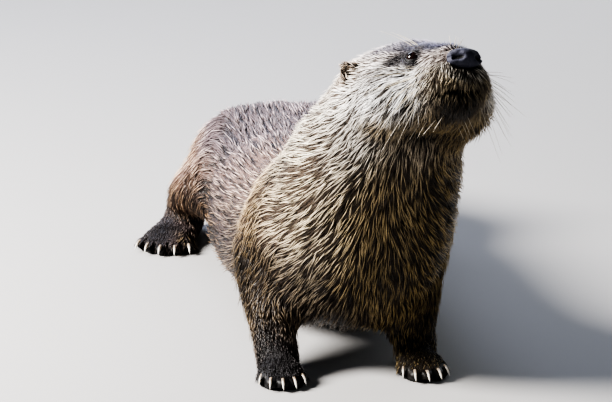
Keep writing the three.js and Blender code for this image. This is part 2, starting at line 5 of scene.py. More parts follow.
import bmesh
import bpy
import numpy as np
from bpy.props import FloatProperty, FloatVectorProperty, IntProperty, PointerProperty
from mathutils import Matrix, Vector
from mathutils.kdtree import KDTree


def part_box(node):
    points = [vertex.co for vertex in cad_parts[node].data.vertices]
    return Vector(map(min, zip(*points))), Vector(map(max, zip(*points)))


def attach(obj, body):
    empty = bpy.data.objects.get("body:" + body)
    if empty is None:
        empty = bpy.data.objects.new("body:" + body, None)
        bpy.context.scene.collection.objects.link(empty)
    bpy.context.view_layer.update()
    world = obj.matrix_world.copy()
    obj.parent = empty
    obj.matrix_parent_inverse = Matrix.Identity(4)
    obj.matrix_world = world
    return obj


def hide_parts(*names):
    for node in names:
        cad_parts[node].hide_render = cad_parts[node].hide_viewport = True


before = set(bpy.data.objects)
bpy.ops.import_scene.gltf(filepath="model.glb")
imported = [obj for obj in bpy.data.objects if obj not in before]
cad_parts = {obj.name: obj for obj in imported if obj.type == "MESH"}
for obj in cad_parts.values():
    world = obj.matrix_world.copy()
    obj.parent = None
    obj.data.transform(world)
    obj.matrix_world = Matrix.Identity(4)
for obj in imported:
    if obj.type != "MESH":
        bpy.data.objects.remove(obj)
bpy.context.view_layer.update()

bl_info = {
    "name": "River otter",
    "version": (1, 0, 0),
    "blender": (4, 5, 0),
    "location": "3D View > Sidebar > Otter",
    "description": "Skin, damp coat, eyes, nose, claws and whiskers of a life-size river otter",
    "category": "Object",
}

MM = 0.001
LEGS = ("foreleg_right", "foreleg_left", "hindleg_right", "hindleg_left")
SIDES = {"left": 1, "right": -1}
FLESH = sorted(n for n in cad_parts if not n.startswith("eye") and n != "nose" and "_claw_" not in n)


# ---------------------------------------------------------------- small helpers
def linear(hex_colour):
    """An sRGB hex value as linear red, green, blue and an alpha of 1."""
    parts = [int(hex_colour[i:i + 2], 16) / 255 for i in (1, 3, 5)]
    return tuple(p / 12.92 if p <= 0.04045 else ((p + 0.055) / 1.055) ** 2.4 for p in parts) + (1.0,)


def rgb(hex_colour):
    """An sRGB hex value as an array of linear red, green and blue."""
    return np.array(linear(hex_colour)[:3])


def unit(vectors):
    """Vectors at length 1, along the last axis."""
    vectors = np.asarray(vectors, float)
    return vectors / np.maximum(np.linalg.norm(vectors, axis=-1, keepdims=True), 1e-9)


def without(vectors, axis):
    """Vectors less their part along an axis of length 1, which may differ for each."""
    return vectors - axis * (vectors * axis).sum(-1, keepdims=True)


def turned(ways, sides, angles):
    """Ways turned towards their sides by these angles."""
    return unit(ways * np.cos(angles)[:, None] + sides * np.sin(angles)[:, None])


def ease(low, high, values):
    """A smooth step from 0 at low to 1 at high. Where low is the larger, it falls instead."""
    t = np.clip((np.asarray(values, float) - low) / (high - low), 0, 1)
    return t * t * (3 - 2 * t)


def bell(values, centre, reach):
    """1 at the centre, falling away smoothly over the reach."""
    return np.exp(-((np.asarray(values, float) - centre) / reach) ** 2)


def spot(node, x=0.5, y=0.5, z=0.5):
    """A point in a node's box, at these shares of its sides, in millimetres."""
    low, high = (np.array(corner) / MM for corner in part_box(node))
    return low + (high - low) * np.array([x, y, z])


def nearest_distance(places, centres):
    """How far each place lies from the nearest of the centres."""
    return np.min([np.linalg.norm(places - centre, axis=1) for centre in centres], axis=0)


def ripple(places, wavelength, seed, waves=7):
    """A smooth wandering value, mostly from -1 to 1, made of a few sine waves."""
    chance = np.random.default_rng(seed)
    total = np.zeros(len(places))
    for _ in range(waves):
        pace = math.tau / (wavelength * chance.uniform(0.7, 1.5))
        total += np.sin(places @ unit(chance.normal(size=3)) * pace + chance.uniform(0, math.tau))
    return total / math.sqrt(waves / 1.5)


class HeadFrame:
    """The head's own axes in millimetres: forward, left and up from the point midway between the eyes."""

    def __init__(self):
        self.origin = (spot("eye_left") + spot("eye_right")) / 2
        left = unit(spot("eye_left") - spot("eye_right"))
        forward = unit(without(self.origin - (spot("ear_left") + spot("ear_right")) / 2, left))
        self.axes = np.array([forward, left, np.cross(forward, left)])

    def local(self, places):
        """Places of the world in the head's frame."""
        return (places - self.origin) @ self.axes.T

    def world(self, place):
        """A place of the head's frame in the world."""
        return np.asarray(place, float) @ self.axes + self.origin

    def direction(self, vector):
        """A vector of the head's frame in the world."""
        return np.asarray(vector, float) @ self.axes


HEAD = HeadFrame()
NOSE = HEAD.local(spot("nose"))
# The face's hair grows away from a point behind the nose pad.
NOSE_ROOT = HEAD.world(NOSE - (12, 0, 0))
EYE_RADIUS = (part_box("eye_right")[1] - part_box("eye_right")[0]).z / 2 / MM
# The way that the left eye looks, in the head's frame.
GAZE = (0.46, 0.77, 0.42)


def eye_frame(word):
    """An eye's centre, and its axes: outward, towards the nose, and up."""
    outward = unit(HEAD.direction((GAZE[0], GAZE[1] * SIDES[word], GAZE[2])))
    noseward = unit(without(HEAD.axes[0], outward))
    return spot("eye_" + word), outward, noseward, np.cross(outward, noseward) * -SIDES[word]


def claws_of(leg):
    """The names of a foot's five claws."""
    return [f"{leg}_claw_{number}" for number in range(1, 6)]


def foot_middle(claw):
    """The middle of the foot that a claw is on, low down."""
    return spot(claw[:claw.index("_claw")] + "_foot", z=0.3)


def claw_line(claw):
    """The root and the tip of a claw."""
    places = read(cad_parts[claw].data.vertices, "co", 3) / MM
    far = np.linalg.norm(places - foot_middle(claw), axis=1)
    return places[far < np.quantile(far, 0.3)].mean(0), places[far.argmax()]


def foot_heading(leg):
    """The level way that a foot points."""
    toes = np.mean([spot(claw) for claw in claws_of(leg)], axis=0)
    return unit((toes - spot(leg + "_foot")) * (1, 1, 0))


# ---------------------------------------------------------------- the coat's plan
# How the coat grows on each part of the body, in millimetres unless it says otherwise:
#   length, depth    how long a lock is, and how deep the coat stands over the skin
#   lift, width      how steeply a lock rises, in degrees, and how wide it is
#   spacing, clump   the distance between locks, and the width of the furrows between wet ridges
#   sag, back        how far the coat hangs down and how far it sweeps back, against its own way
#   soften           how strongly the skin's form is softened
#   guard, strand    the share of single guard hairs, and their width
#   gather, wander   how far the tips of locks draw together, and how far locks wander
#   ridge            how many times as long as wide the wet ridges are
Coat = namedtuple("Coat", "length depth lift width spacing clump sag back soften "
                          "guard strand gather wander ridge")
COATS = {
    "muzzle": Coat(5.0, 1.0, 13, 0.75, 0.90, 1.6, 0.25, 0.0, 0.20, 0.24, 0.45, 0.15, 0.5, 4),
    "lip": Coat(9.0, 1.5, 13, 0.85, 1.02, 2.0, 0.60, 0.0, 0.22, 0.20, 0.55, 0.4, 0.7, 4),
    "crown": Coat(9.5, 1.6, 15, 0.90, 1.08, 2.2, 0.10, 0.0, 0.30, 0.13, 0.65, 0.5, 0.9, 4),
    "cheek": Coat(16.0, 2.3, 11, 1.05, 1.16, 2.6, 0.75, 0.0, 0.35, 0.30, 0.90, 0.8, 0.9, 4),
    "chin": Coat(10.0, 1.6, 13, 0.90, 1.15, 2.2, 0.50, 0.0, 0.25, 0.20, 0.55, 0.4, 0.8, 4),
    "ear": Coat(2.8, 0.4, 14, 0.60, 0.80, 1.4, 0.00, 0.0, 0.30, 0.25, 0.45, 0.3, 0.6, 4),
    "neck": Coat(16.0, 3.2, 11, 1.40, 1.48, 2.3, 0.05, 0.6, 0.45, 0.17, 0.68, 0.28, 0.5, 3),
    "chest": Coat(16.0, 3.6, 11, 1.50, 1.62, 2.5, 0.15, 0.5, 0.50, 0.16, 0.70, 0.28, 0.5, 3),
    "trunk": Coat(24.0, 3.6, 7, 2.00, 2.20, 4.2, 0.00, 0.0, 0.50, 0.05, 1.00, 1.2, 0.20, 16),
    "rump": Coat(20.0, 3.4, 7, 1.90, 2.12, 3.8, 0.00, 0.0, 0.50, 0.05, 1.00, 1.1, 0.30, 10),
    "tail": Coat(10.0, 2.6, 10, 1.45, 1.80, 3.0, 0.10, 0.0, 0.40, 0.14, 0.80, 0.4, 0.8, 4),
    "upper_leg": Coat(13.0, 2.8, 12, 1.45, 1.62, 2.8, 0.10, 0.3, 0.45, 0.14, 0.68, 0.4, 0.8, 4),
    "thigh": Coat(15.0, 3.0, 10, 1.70, 1.90, 3.4, 0.10, 0.3, 0.45, 0.10, 0.85, 0.6, 0.7, 5),
    "lower_leg": Coat(8.0, 1.5, 13, 1.15, 1.36, 2.4, 0.10, 0.0, 0.25, 0.14, 0.60, 0.4, 0.8, 4),
    "foot": Coat(4.2, 0.4, 12, 0.80, 1.02, 1.8, 0.00, 0.0, 0.08, 0.10, 0.55, 0.3, 0.5, 4),
}
COAT_NAMES = list(COATS)
FACE_COATS = ("muzzle", "lip", "crown", "cheek", "chin")
LOCK_FIELDS = tuple(name for name in Coat._fields if name not in ("depth", "sag", "back", "soften"))

# Colours of the coat: the roots of its locks, their tips, and its guard hairs. The guard hairs' pale colours
# are partly their own and partly a painted glint of wet hair.
HUES = {
    "muzzle": ("#3c332f", "#7d716c", "#dcd2cc"),
    "lip": ("#1d160f", "#564a36", "#cdbb98"),
    "crown": ("#221b19", "#3e3532", "#c4b8b2"),
    "cheek": ("#221d1a", "#4e4844", "#ffffff"),
    "chin": ("#120c07", "#2b2115", "#84704a"),
    "ear": ("#221912", "#6a5a4a", "#b8a692"),
    "neck": ("#2b231c", "#6a5e54", "#fff8ee"),
    "chest": ("#221a12", "#463a2e", "#d8c8a8"),
    "trunk": ("#2b1f19", "#8e7469", "#d8bfb2"),
    "rump": ("#2b211c", "#7d6963", "#c2aca4"),
    "tail": ("#1a1310", "#54473b", "#94806b"),
    "upper_leg": ("#261b12", "#544231", "#cdb084"),
    "thigh": ("#251b14", "#7a6050", "#d0b090"),
    "lower_leg": ("#100c09", "#272019", "#5d4e3f"),
    "foot": ("#0a0809", "#211e20", "#474347"),
}

# A stretch of the body that the coat follows: the kind of coat, the part it belongs to, its line, and its
# usual distance to the skin. A place belongs to its nearest guides, and more so the higher this power is.
Guide = namedtuple("Guide", "coat part start end reach")
GUIDE_PULL = 6


def make_guides():
    """Lines through the body, each from nearer the nose to further from it."""
    guides = []

    def run(coat, part, reach, *points):
        guides.extend(Guide(coat, part, a, b, reach) for a, b in zip(points, points[1:]))

    run("muzzle", "face", 20, HEAD.world((34, 0, -8)), HEAD.world((6, 0, -7)))
    run("crown", "crown", 34, HEAD.world((-8, 0, 0)), HEAD.world((-72, 0, -4)))
    run("chin", "face", 20, HEAD.world((26, 0, -40)), HEAD.world((-16, 0, -46)))
    for word, side in SIDES.items():
        run("lip", "face", 15, HEAD.world((36, side * 8, -22)), HEAD.world((14, side * 15, -27)))
        run("cheek", "cheek_" + word, 26, HEAD.world((0, side * 22, -24)), HEAD.world((-62, side * 28, -26)))
        ear = spot("ear_" + word)
        run("ear", "crown", 15, ear, ear + HEAD.direction((-5, side * 5, 5)))
    run("neck", "neck", 62, spot("head", 0.3, 0.5, 0.3), spot("neck", 0.2, 0.5, 0.35))
    run("chest", "chest", 74, spot("neck", 0.5, 0.5, 0.35), spot("chest", 0.2, 0.5, 0.45))
    run("trunk", "trunk", 74, spot("chest", 0.3, 0.5, 0.5), spot("trunk"))
    run("rump", "rump", 68, spot("trunk", 0.2), spot("rump", 0.3))
    run("tail", "tail", 34, spot("rump", 0.0), spot("tail_base"))
    run("tail", "tail", 22, spot("tail_base", 0.1), spot("tail_middle"), spot("tail_tip"),
        spot("tail_tip", 0, 1, 0.2))
    for leg in LEGS:
        fore = leg.startswith("fore")
        pair = "forelegs" if fore else "hindlegs"
        elbow = spot(leg + "_lower", 0.3, 0.5, 0.9) if fore else spot(leg + "_lower", 0.8, 0.5, 0.7)
        wrist = spot(leg + "_lower", 0.75, 0.5, 0.1) if fore else spot(leg + "_lower", 0.15, 0.5, 0.2)
        run("upper_leg" if fore else "thigh", "upper_legs", 34, spot(leg + "_upper", 0.5, 0.5, 0.75), elbow)
        run("lower_leg", pair, 20, elbow, wrist)
        run("foot", pair, 17, wrist, spot(leg + "_foot", z=0.3) + foot_heading(leg) * 30)
    return guides


GUIDES = make_guides()


def guide_frame(guide):
    """Axes of a guide: along it, towards the otter's left, and over it."""
    along = unit(guide.end - guide.start)
    over = (0, 0, 1) if abs(along[2]) < 0.9 else (-1, 0, 0)
    left = unit(np.cross(along, over))
    return along, left, np.cross(left, along)


def around_eyes(places, way):
    """The way of the coat, parted round each eye as a stream parts round a stone."""
    stone, near, far = 8.0, 12, 24
    for word in SIDES:
        centre, outward, _, _ = eye_frame(word)
        offset = places - centre
        flat = without(offset, outward)
        square = np.maximum((flat ** 2).sum(1), stone ** 2)
        squeeze = stone ** 2 / square
        toward = (way * flat).sum(1) / square
        parted = way * (1 + squeeze)[:, None] - flat * (2 * squeeze * toward)[:, None]
        way = unit(way + (parted - way) * ease(far, near, np.linalg.norm(offset, axis=1))[:, None])
    return way


def coat_plan(places, normals):
    """For each place: its share of each kind of coat, the way the coat lies, and the nearest guide."""
    shares = np.zeros((len(places), len(COATS)))
    along = np.zeros((len(places), 3))
    nearest, best = np.zeros(len(places), int), np.zeros(len(places))
    from_nose = unit(places - NOSE_ROOT)
    for number, guide in enumerate(GUIDES):
        line, coat = guide.end - guide.start, COATS[guide.coat]
        t = np.clip((places - guide.start) @ line / line.dot(line), 0, 1)
        distance = np.linalg.norm(places - guide.start - t[:, None] * line, axis=1)
        pull = (guide.reach / np.maximum(distance, 1)) ** GUIDE_PULL
        shares[:, COAT_NAMES.index(guide.coat)] += pull
        way = from_nose if guide.coat in FACE_COATS else unit(line)
        along += pull[:, None] * (way - (coat.back, 0, coat.sag))
        nearest = np.where(pull > best, number, nearest)
        best = np.maximum(best, pull)
    along = around_eyes(places, unit(without(along, normals)))
    return shares / shares.sum(1, keepdims=True), unit(without(along, normals)), nearest


def of_coats(shares, value):
    """A number or colour of the coats, mixed by their shares."""
    return shares @ np.array([value(name) for name in COAT_NAMES])


def share_of(shares, *names):
    """The share that these coats have together."""
    return of_coats(shares, lambda name: float(name in names))


def planned(shares, field):
    """A field of the coats' plan, mixed by their shares."""
    return of_coats(shares, lambda name: getattr(COATS[name], field))


def markings(places, normals, shares):
    """The coat's colours, one for each place: those of a lock's root, its tip, and a guard hair.

    Distances are in millimetres in the head's frame, where x runs forward, y to the left and z up.
    """
    root, tip, guard = (of_coats(shares, lambda name: rgb(HUES[name][k])) for k in range(3))
    x, y, z = HEAD.local(places).T
    upward = normals[:, 2]

    def tint(amount, *colours):
        amount = np.clip(amount, 0, 1)[:, None]
        for onto, colour in zip((root, tip, guard), colours):
            onto += (rgb(colour) - onto) * amount

    # Painted sheen: where it faces up, the hair on the bridge of the nose and on the brow is painted darker
    # and grey-blue, a painted reflection of the sky, and a fainter painted grey-blue sheen runs along the
    # back.
    bridge = ease(-18, -4, x) * ease(34, 26, x) * ease(-1, 5, z)
    tint(bridge * ease(0.60, 0.90, upward), "#15141b", "#1f1e2b", "#3a3950")
    brow = ease(-75, -35, x) * ease(34, 26, x) * ease(4, 12, z)
    tint(brow * ease(0.55, 0.90, upward) * 0.8, "#17151a", "#262430", "#6a6878")
    thigh = share_of(shares, "thigh")
    back = (0.5 * share_of(shares, "rump") + thigh) * ease(0.50, 0.85, upward)
    tint(back * 0.75, "#221e20", "#66606c", "#9c96a8")
    # A dark line runs through each eye to a patch above its inner corner, and the ear's hollow is dim.
    for word in SIDES:
        centre, _, noseward, up = eye_frame(word)
        ahead, over = (places - centre) @ noseward, (places - centre) @ up
        near = ease(26, 18, np.linalg.norm(places - centre, axis=1))
        line = ease(9.0, 6.0, np.hypot(ahead - np.clip(ahead, -11, 4), over + 1.5))
        patch = ease(8.0, 4.5, np.hypot(ahead - 5, over - 7.0))
        tint(near * np.maximum(line, patch), "#0b090a", "#1d191c", "#3a3436")
        tint(ear_hollow(places, word), "#2a231e", "#65574b", "#8c7c6c")
    # The lower flanks and the belly are a darker golden tan, painted darker where the coat faces down: partly
    # their own colour, partly painted shade on the underside.
    low = share_of(shares, "trunk", "rump") + 0.6 * thigh
    tint(low * ease(0.55, 0.15, upward), "#0e0906", "#20160e", "#6e5436")
    # The upper forelegs and the foot of the chest darken downwards: partly the legs' own darker brown, partly
    # painted shade under the chest and between the forelegs.
    fore = share_of(shares, "upper_leg", "chest", "neck") * ease(122, 84, places[:, 2])
    tint(fore * 0.9, "#0c0805", "#150f0a", "#3c301f")
    # Painted shade: low on the left cheek, the side turned from the key, the silver is painted golden and
    # dark, and under the jaw the coat is painted dark where shade falls.
    far_cheek_shade = ease(6, 22, y) * ease(-16, -34, z)
    tint(far_cheek_shade * 0.85, "#120c07", "#3c3122", "#a48e60")
    under_jaw_shade = ease(-29, -43, z) * ease(-60, -25, x)
    tint(under_jaw_shade * 0.9, "#0e0906", "#221a10", "#786540")
    # The throat and the front of the chest are painted dark as painted shade, the head's shadow and the side
    # turned from the key, reaching further on the otter's left, over golden guard hairs.
    forward = ease(0.60, 0.96, normals @ unit((0.90, 0.36, -0.20)))
    front = forward * ease(-44, -72, z) * share_of(shares, "neck", "chest", "chin", "cheek")
    tint(front * 0.85, "#0d0906", "#2e2416", "#a48c5c")
    # Painted shade: the mouth and the chin under the upper lip are painted nearly black.
    lips = ease(-28, -37, z) * ease(-54, -44, z) * ease(14, 27, x)
    tint(lips, "#0b0805", "#1b160f", "#3a2f20")
    # A short pale fringe hangs below the nose pad.
    from_pad = np.linalg.norm((HEAD.local(places) - NOSE) / (11, 16, 10), axis=1)
    fringe = ease(1.55, 1.30, from_pad) * ease(-6, -10, z)
    tint(fringe * 0.8, "#2c2722", "#8d867c", "#e6e0d4")
    # Slow changes of tone run over the whole coat.
    tone = (1 + 0.10 * ripple(places, 55, 11) + 0.06 * ripple(places, 17, 12))[:, None]
    return root * tone, tip * tone, guard * tone


# ---------------------------------------------------------------- meshes as arrays
# The kinds of attribute: the name of the field that holds its numbers, and how many there are.
ATTRIBUTES = {"FLOAT": ("value", 1), "FLOAT_VECTOR": ("vector", 3), "FLOAT_COLOR": ("color", 4)}


def read(items, field, width):
    """A field of every vertex, edge or face as an array."""
    whole = field == "vertices"
    flat = np.empty(len(items) * width, np.int32 if whole else np.float32)
    items.foreach_get(field, flat)
    return flat.reshape(-1, width).astype(int if whole else float)


def read_attribute(mesh, name):
    """The number, vector or colour that the mesh keeps for each vertex. A colour comes without its alpha."""
    attribute = mesh.attributes[name]
    values = read(attribute.data, *ATTRIBUTES[attribute.data_type])
    return values[:, :3] if values.shape[1] > 1 else values[:, 0]


def write_attribute(mesh, name, values):
    """Keeps a number, vector or colour for each vertex on the mesh."""
    width = values.shape[1] if values.ndim > 1 else 1
    kind = next(kind for kind, (_, numbers) in ATTRIBUTES.items() if numbers == width)
    attribute = mesh.attributes.new(name, kind, "POINT")
    attribute.data.foreach_set(ATTRIBUTES[kind][0], values.astype(np.float32).ravel())


def write_colour(mesh, name, colours):
    """Keeps a solid colour for each vertex on the mesh."""
    write_attribute(mesh, name, np.hstack([np.clip(colours, 0, 1), np.ones((len(colours), 1))]))


class Surface:
    """A closed mesh's places in millimetres, with its triangles, edges and normals."""

    def __init__(self, mesh):
        self.places = read(mesh.vertices, "co", 3) / MM
        self.edges = read(mesh.edges, "vertices", 2)
        mesh.calc_loop_triangles()
        self.triangles = read(mesh.loop_triangles, "vertices", 3)
        self.neighbours = np.maximum(np.bincount(self.edges.ravel(), minlength=len(self.places)), 1)

    def facings(self):
        """Each triangle's normal, at a length of twice its area."""
        a, b, c = (self.places[self.triangles[:, corner]] for corner in range(3))
        return np.cross(b - a, c - a)

    def areas(self):
        """Each triangle's area in square millimetres."""
        return np.linalg.norm(self.facings(), axis=1) / 2

    def normals(self):
        """Each vertex's normal."""
        facings = self.facings()
        total = np.zeros_like(self.places)
        for corner in range(3):
            for axis in range(3):
                total[:, axis] += np.bincount(self.triangles[:, corner], facings[:, axis], len(self.places))
        return unit(total)

    def spread(self, values, strength, rounds):
        """Values, softened by moving each vertex's towards the mean of its neighbours'."""
        values = np.array(values, float)
        columns = values if values.ndim > 1 else values[:, None]
        a, b = self.edges.T
        count = len(columns)
        strength = np.broadcast_to(strength, count)[:, None]
        for _ in range(rounds):
            total = [np.bincount(a, column[b], count) + np.bincount(b, column[a], count)
                     for column in columns.T]
            columns += strength * (np.stack(total, axis=1) / self.neighbours[:, None] - columns)
        return columns.reshape(values.shape)

    def write(self, mesh):
        """Moves the mesh's vertices to the places."""
        mesh.vertices.foreach_set("co", (self.places * MM).astype(np.float32).ravel())
        mesh.update()


def search_tree(places):
    """A tree that finds the nearest of the places."""
    tree = KDTree(len(places))
    for number, place in enumerate(places):
        tree.insert(place, number)
    tree.balance()
    return tree


def mesh_of(form, name):
    """A new mesh from a bmesh, which is freed."""
    mesh = bpy.data.meshes.new(name)
    form.to_mesh(mesh)
    form.free()
    return mesh


def triangle_mesh(name, places, triangles):
    """A new mesh of triangles from arrays of places, in millimetres, and vertex numbers."""
    mesh = bpy.data.meshes.new(name)
    mesh.vertices.add(len(places))
    mesh.vertices.foreach_set("co", (places * MM).astype(np.float32).ravel())
    mesh.loops.add(triangles.size)
    mesh.loops.foreach_set("vertex_index", triangles.astype(np.int32).ravel())
    mesh.polygons.add(len(triangles))
    mesh.polygons.foreach_set("loop_start", np.arange(0, triangles.size, 3, dtype=np.int32))
    mesh.update(calc_edges=True)
    return mesh


def show(mesh, material, slot, *replaced):
    """Puts a finished mesh in the scene as a piece of the otter, which stands for the replaced nodes."""
    mesh.shade_smooth()
    mesh.materials.clear()
    mesh.materials.append(material)
    piece = bpy.data.objects.new(mesh.name, mesh)
    bpy.context.scene.collection.objects.link(piece)
    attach(piece, "root")
    if replaced:
        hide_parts(*replaced)


def merged_nodes(nodes, swell=0.0):
    """Copies of CAD nodes in one bmesh, each merged and grown by a little so that neighbours join."""
    gathered = bmesh.new()
    for node in nodes:
        part = bmesh.new()
        part.from_mesh(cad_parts[node].data)
        bmesh.ops.remove_doubles(part, verts=part.verts, dist=0.01 * MM)
        part.normal_update()
        for vertex in part.verts:
            vertex.co += vertex.normal * swell * MM
        copy = mesh_of(part, node + "_copy")
        gathered.from_mesh(copy)
        bpy.data.meshes.remove(copy)
    return gathered


def voxel_remeshed(form, voxel, name):
    """The outer surface of a bmesh, which is freed, as even quads of this size in millimetres."""
    mesh = mesh_of(form, name + "_rough")
    holder = bpy.data.objects.new(name + "_holder", mesh)
    bpy.context.scene.collection.objects.link(holder)
    remesh = holder.modifiers.new("even_quads", "REMESH")
    remesh.mode = "VOXEL"
    remesh.voxel_size = voxel * MM
    evaluated = holder.evaluated_get(bpy.context.evaluated_depsgraph_get())
    result = bpy.data.meshes.new_from_object(evaluated)
    result.name = name
    bpy.data.objects.remove(holder)
    bpy.data.meshes.remove(mesh)
    return result


def refine(form, spots):
    """Halves the faces near each spot, a centre and a reach in millimetres, once for each entry."""
    for centre, reach in spots:
        centre = Vector(centre * MM)
        for vertex in form.verts:
            vertex.tag = (vertex.co - centre).length < reach * MM
        edges = [edge for edge in form.edges if edge.verts[0].tag and edge.verts[1].tag]
        bmesh.ops.subdivide_edges(form, edges=edges, cuts=1, use_grid_fill=True)


# ---------------------------------------------------------------- materials
def add(tree, kind, settings=None, inputs=None):
    """Adds a node. An input is a value, or the node and output that it is linked from."""
    node = tree.nodes.new("ShaderNode" + kind)
    for name, value in (settings or {}).items():
        setattr(node, name, value)
    for name, value in (inputs or {}).items():
        if isinstance(value, tuple) and isinstance(value[0], bpy.types.Node):
            tree.links.new(value[0].outputs[value[1]], node.inputs[name])
        else:
            node.inputs[name].default_value = value
    return node


def grains(tree, kind, size, settings=None, **inputs):
    """Adds a texture fixed to the object, with grains about this many millimetres across."""
    place = add(tree, "TexCoord")
    return add(tree, kind, settings, {"Vector": (place, "Object"), "Scale": 1 / (size * MM), **inputs})


def kept(tree, name):
    """Adds what the mesh keeps for each vertex under a name."""
    return add(tree, "Attribute", {"attribute_name": name})


def between(tree, source, low, high):
    """Adds a number that runs from low to high as its source runs from 0 to 1."""
    return add(tree, "MapRange", inputs={"Value": source, "To Min": low, "To Max": high}), 0


def shaded(tree, colour, low, high, source):
    """Adds a colour made darker and lighter by a source, from low to high times its own brightness."""
    shade = between(tree, source, low, high)
    return add(tree, "VectorMath", {"operation": "SCALE"}, {0: (colour, "Color"), "Scale": shade}), 0


def blend(tree, source, first, second):
    """Adds a colour that runs from the first to the second as its source runs from 0 to 1."""
    return add(tree, "Mix", {"data_type": "RGBA"}, {"Factor": source, 6: first, 7: second}), 2


def bumped(tree, source, strength, depth):
    """Adds a relief of this strength and depth in millimetres."""
    return add(tree, "Bump", inputs={"Height": source, "Strength": strength, "Distance": depth * MM}), 0


def new_material(name):
    """An empty node material, and its tree."""
    material = bpy.data.materials.new(name)
    material.use_nodes = True
    material.node_tree.nodes.clear()
    return material, material.node_tree


def finished(material, inputs):
    """The material, ended in one shader with these inputs."""
    shader = add(material.node_tree, "BsdfPrincipled", inputs=inputs)
    add(material.node_tree, "OutputMaterial", inputs={"Surface": (shader, 0)})
    return material


def damp_guard_hair():
    """Damp guard hair, grown and groomed by water.

    Each lock is darker at its root and paler along its ridge, a painted highlight in its colour; gloss and
    tone change in fine streaks.
    """
    material, tree = new_material("damp_guard_hair")
    # Strands about 0.6 mm apart, as coarse as they need to be to show.
    strands = grains(tree, "TexNoise", 0.625), 0
    return finished(material, {
        "Base Color": shaded(tree, kept(tree, "coat_colour"), 0.72, 1.28, strands),
        "Roughness": between(tree, strands, 0.32, 0.52), "IOR": 1.55, "Specular IOR Level": 0.4})


def underfur_and_skin():
    """Dense underfur and skin, grown: dark and dull between the locks, and slick leather on the feet."""
    material, tree = new_material("underfur_and_skin")
    bare = kept(tree, "bare"), "Fac"
    # Underfur stands in tufts about 0.8 mm across, and the foot's skin has grains of about 1.2 mm.
    tufts = grains(tree, "TexNoise", 0.8, Detail=3.0), 0
    leather = grains(tree, "TexVoronoi", 1.204819), 0
    relief = add(tree, "Mix", {"data_type": "FLOAT"}, {"Factor": bare, 2: tufts, 3: leather}), 0
    return finished(material, {
        "Base Color": shaded(tree, kept(tree, "coat_colour"), 0.6, 1.4, tufts),
        "Roughness": between(tree, bare, 0.65, 0.52), "Normal": bumped(tree, relief, 0.35, 0.3),
        "Specular IOR Level": 0.25})


def moist_nose_leather():
    """Bare nose skin, grown in small pebbles and kept moist: dark slate with a soft broken gleam."""
    material, tree = new_material("moist_nose_leather")
    # Pebbles about 0.8 mm across, under slow clouds of tone and gloss of about 6 mm.
    pebbles = grains(tree, "TexVoronoi", 0.769231, {"feature": "SMOOTH_F1"}), 0
    cloud = grains(tree, "TexNoise", 6.25, Detail=3.0), 0
    skin = blend(tree, cloud, linear("#272731"), linear("#484957"))
    # The hollows of the nostrils are painted nearly black, as painted shade.
    return finished(material, {
        "Base Color": blend(tree, (kept(tree, "nostril"), "Fac"), skin, linear("#030303")),
        "Roughness": between(tree, cloud, 0.60, 0.74), "Normal": bumped(tree, pebbles, 0.8, 0.4),
        "Specular IOR Level": 0.22})


def wet_eye():
    """A living eye: a clear wet cornea over a brown iris so dark that it reads as black."""
    material, tree = new_material("wet_eye")
    return finished(material, {
        "Base Color": (kept(tree, "eye_colour"), "Color"), "Roughness": 0.10, "IOR": 1.376,
        "Specular IOR Level": 0.3})


def claw_horn():
    """Claw horn, grown in layers: pale and waxy, browner at the root, with fine streaks along it."""
    material, tree = new_material("claw_horn")
    # Streaks about 0.5 mm apart.
    streaks = grains(tree, "TexNoise", 0.5), 0
    return finished(material, {
        "Base Color": shaded(tree, kept(tree, "claw_colour"), 0.8, 1.15, streaks), "Roughness": 0.3,
        "IOR": 1.55, "Subsurface Weight": 0.15, "Subsurface Radius": (0.002, 0.0015, 0.001)})


def whisker_keratin():
    """Whiskers, stiff keratin hairs: pale straw, smooth and a little glossy."""
    material, tree = new_material("whisker_keratin")
    # Slow changes of tone along each hair, about 12 mm long.
    tone = grains(tree, "TexNoise", 12.5), 0
    return finished(material, {
        "Base Color": blend(tree, tone, linear("#b8a88c"), linear("#fff6e4")),
        "Roughness": 0.35, "IOR": 1.55})


def matt_studio_floor(colour):
    """Matt painted board: an even pale tone that takes a soft shadow."""
    material, _ = new_material("matt_studio_floor")
    return finished(material, {"Base Color": (*colour, 1.0), "Roughness": 0.9})


# ---------------------------------------------------------------- the skin's forms
# The space about the nose that is pressed flatter, the share of its height that it loses, and how far
# below the nose's middle it keeps its level.
NOSE_SPACE = np.array([14, 18, 13])
NOSE_PRESS = 0.24
NOSE_STILL = 3.7
# The lids: how pointed the opening's corners are, how thick the skin lies over the ball, how deep it lies
# under the ball inside the opening, and the distance, in openings, that stands for no eye near.
LID_POINT = 1.7
LID_THICKNESS = 0.65
BALL_BED = 0.9
NO_EYE = 9.0
# The ears: the radius of the rim, how far it spreads inwards and outwards, how deep the hollow is, how far
# it spreads, and how far the rim leans forward.
EAR_RIM = 6.4
EAR_SPREAD = (1.8, 2.6)
EAR_DEPTH = 1.8
EAR_BOWL = 3.8
EAR_LEAN = 0.15


def flat_nose(places):
    """Presses the nose and the muzzle about it a little flatter than the nose's own form."""
    offset = HEAD.local(places) - NOSE
    near = ease(1.5, 0.9, np.linalg.norm(offset / NOSE_SPACE, axis=1))
    press = NOSE_PRESS * near * (offset[:, 2] + NOSE_STILL)
    return places - HEAD.axes[2] * press[:, None]


def nose_bed(places):
    """1 where the nose pad covers the skin, falling to 0 outside its edge."""
    offset = HEAD.local(places) - NOSE + (0, 0, 0.9)
    return ease(1.14, 0.84, np.linalg.norm(offset / (10, 15.5, 8), axis=1))


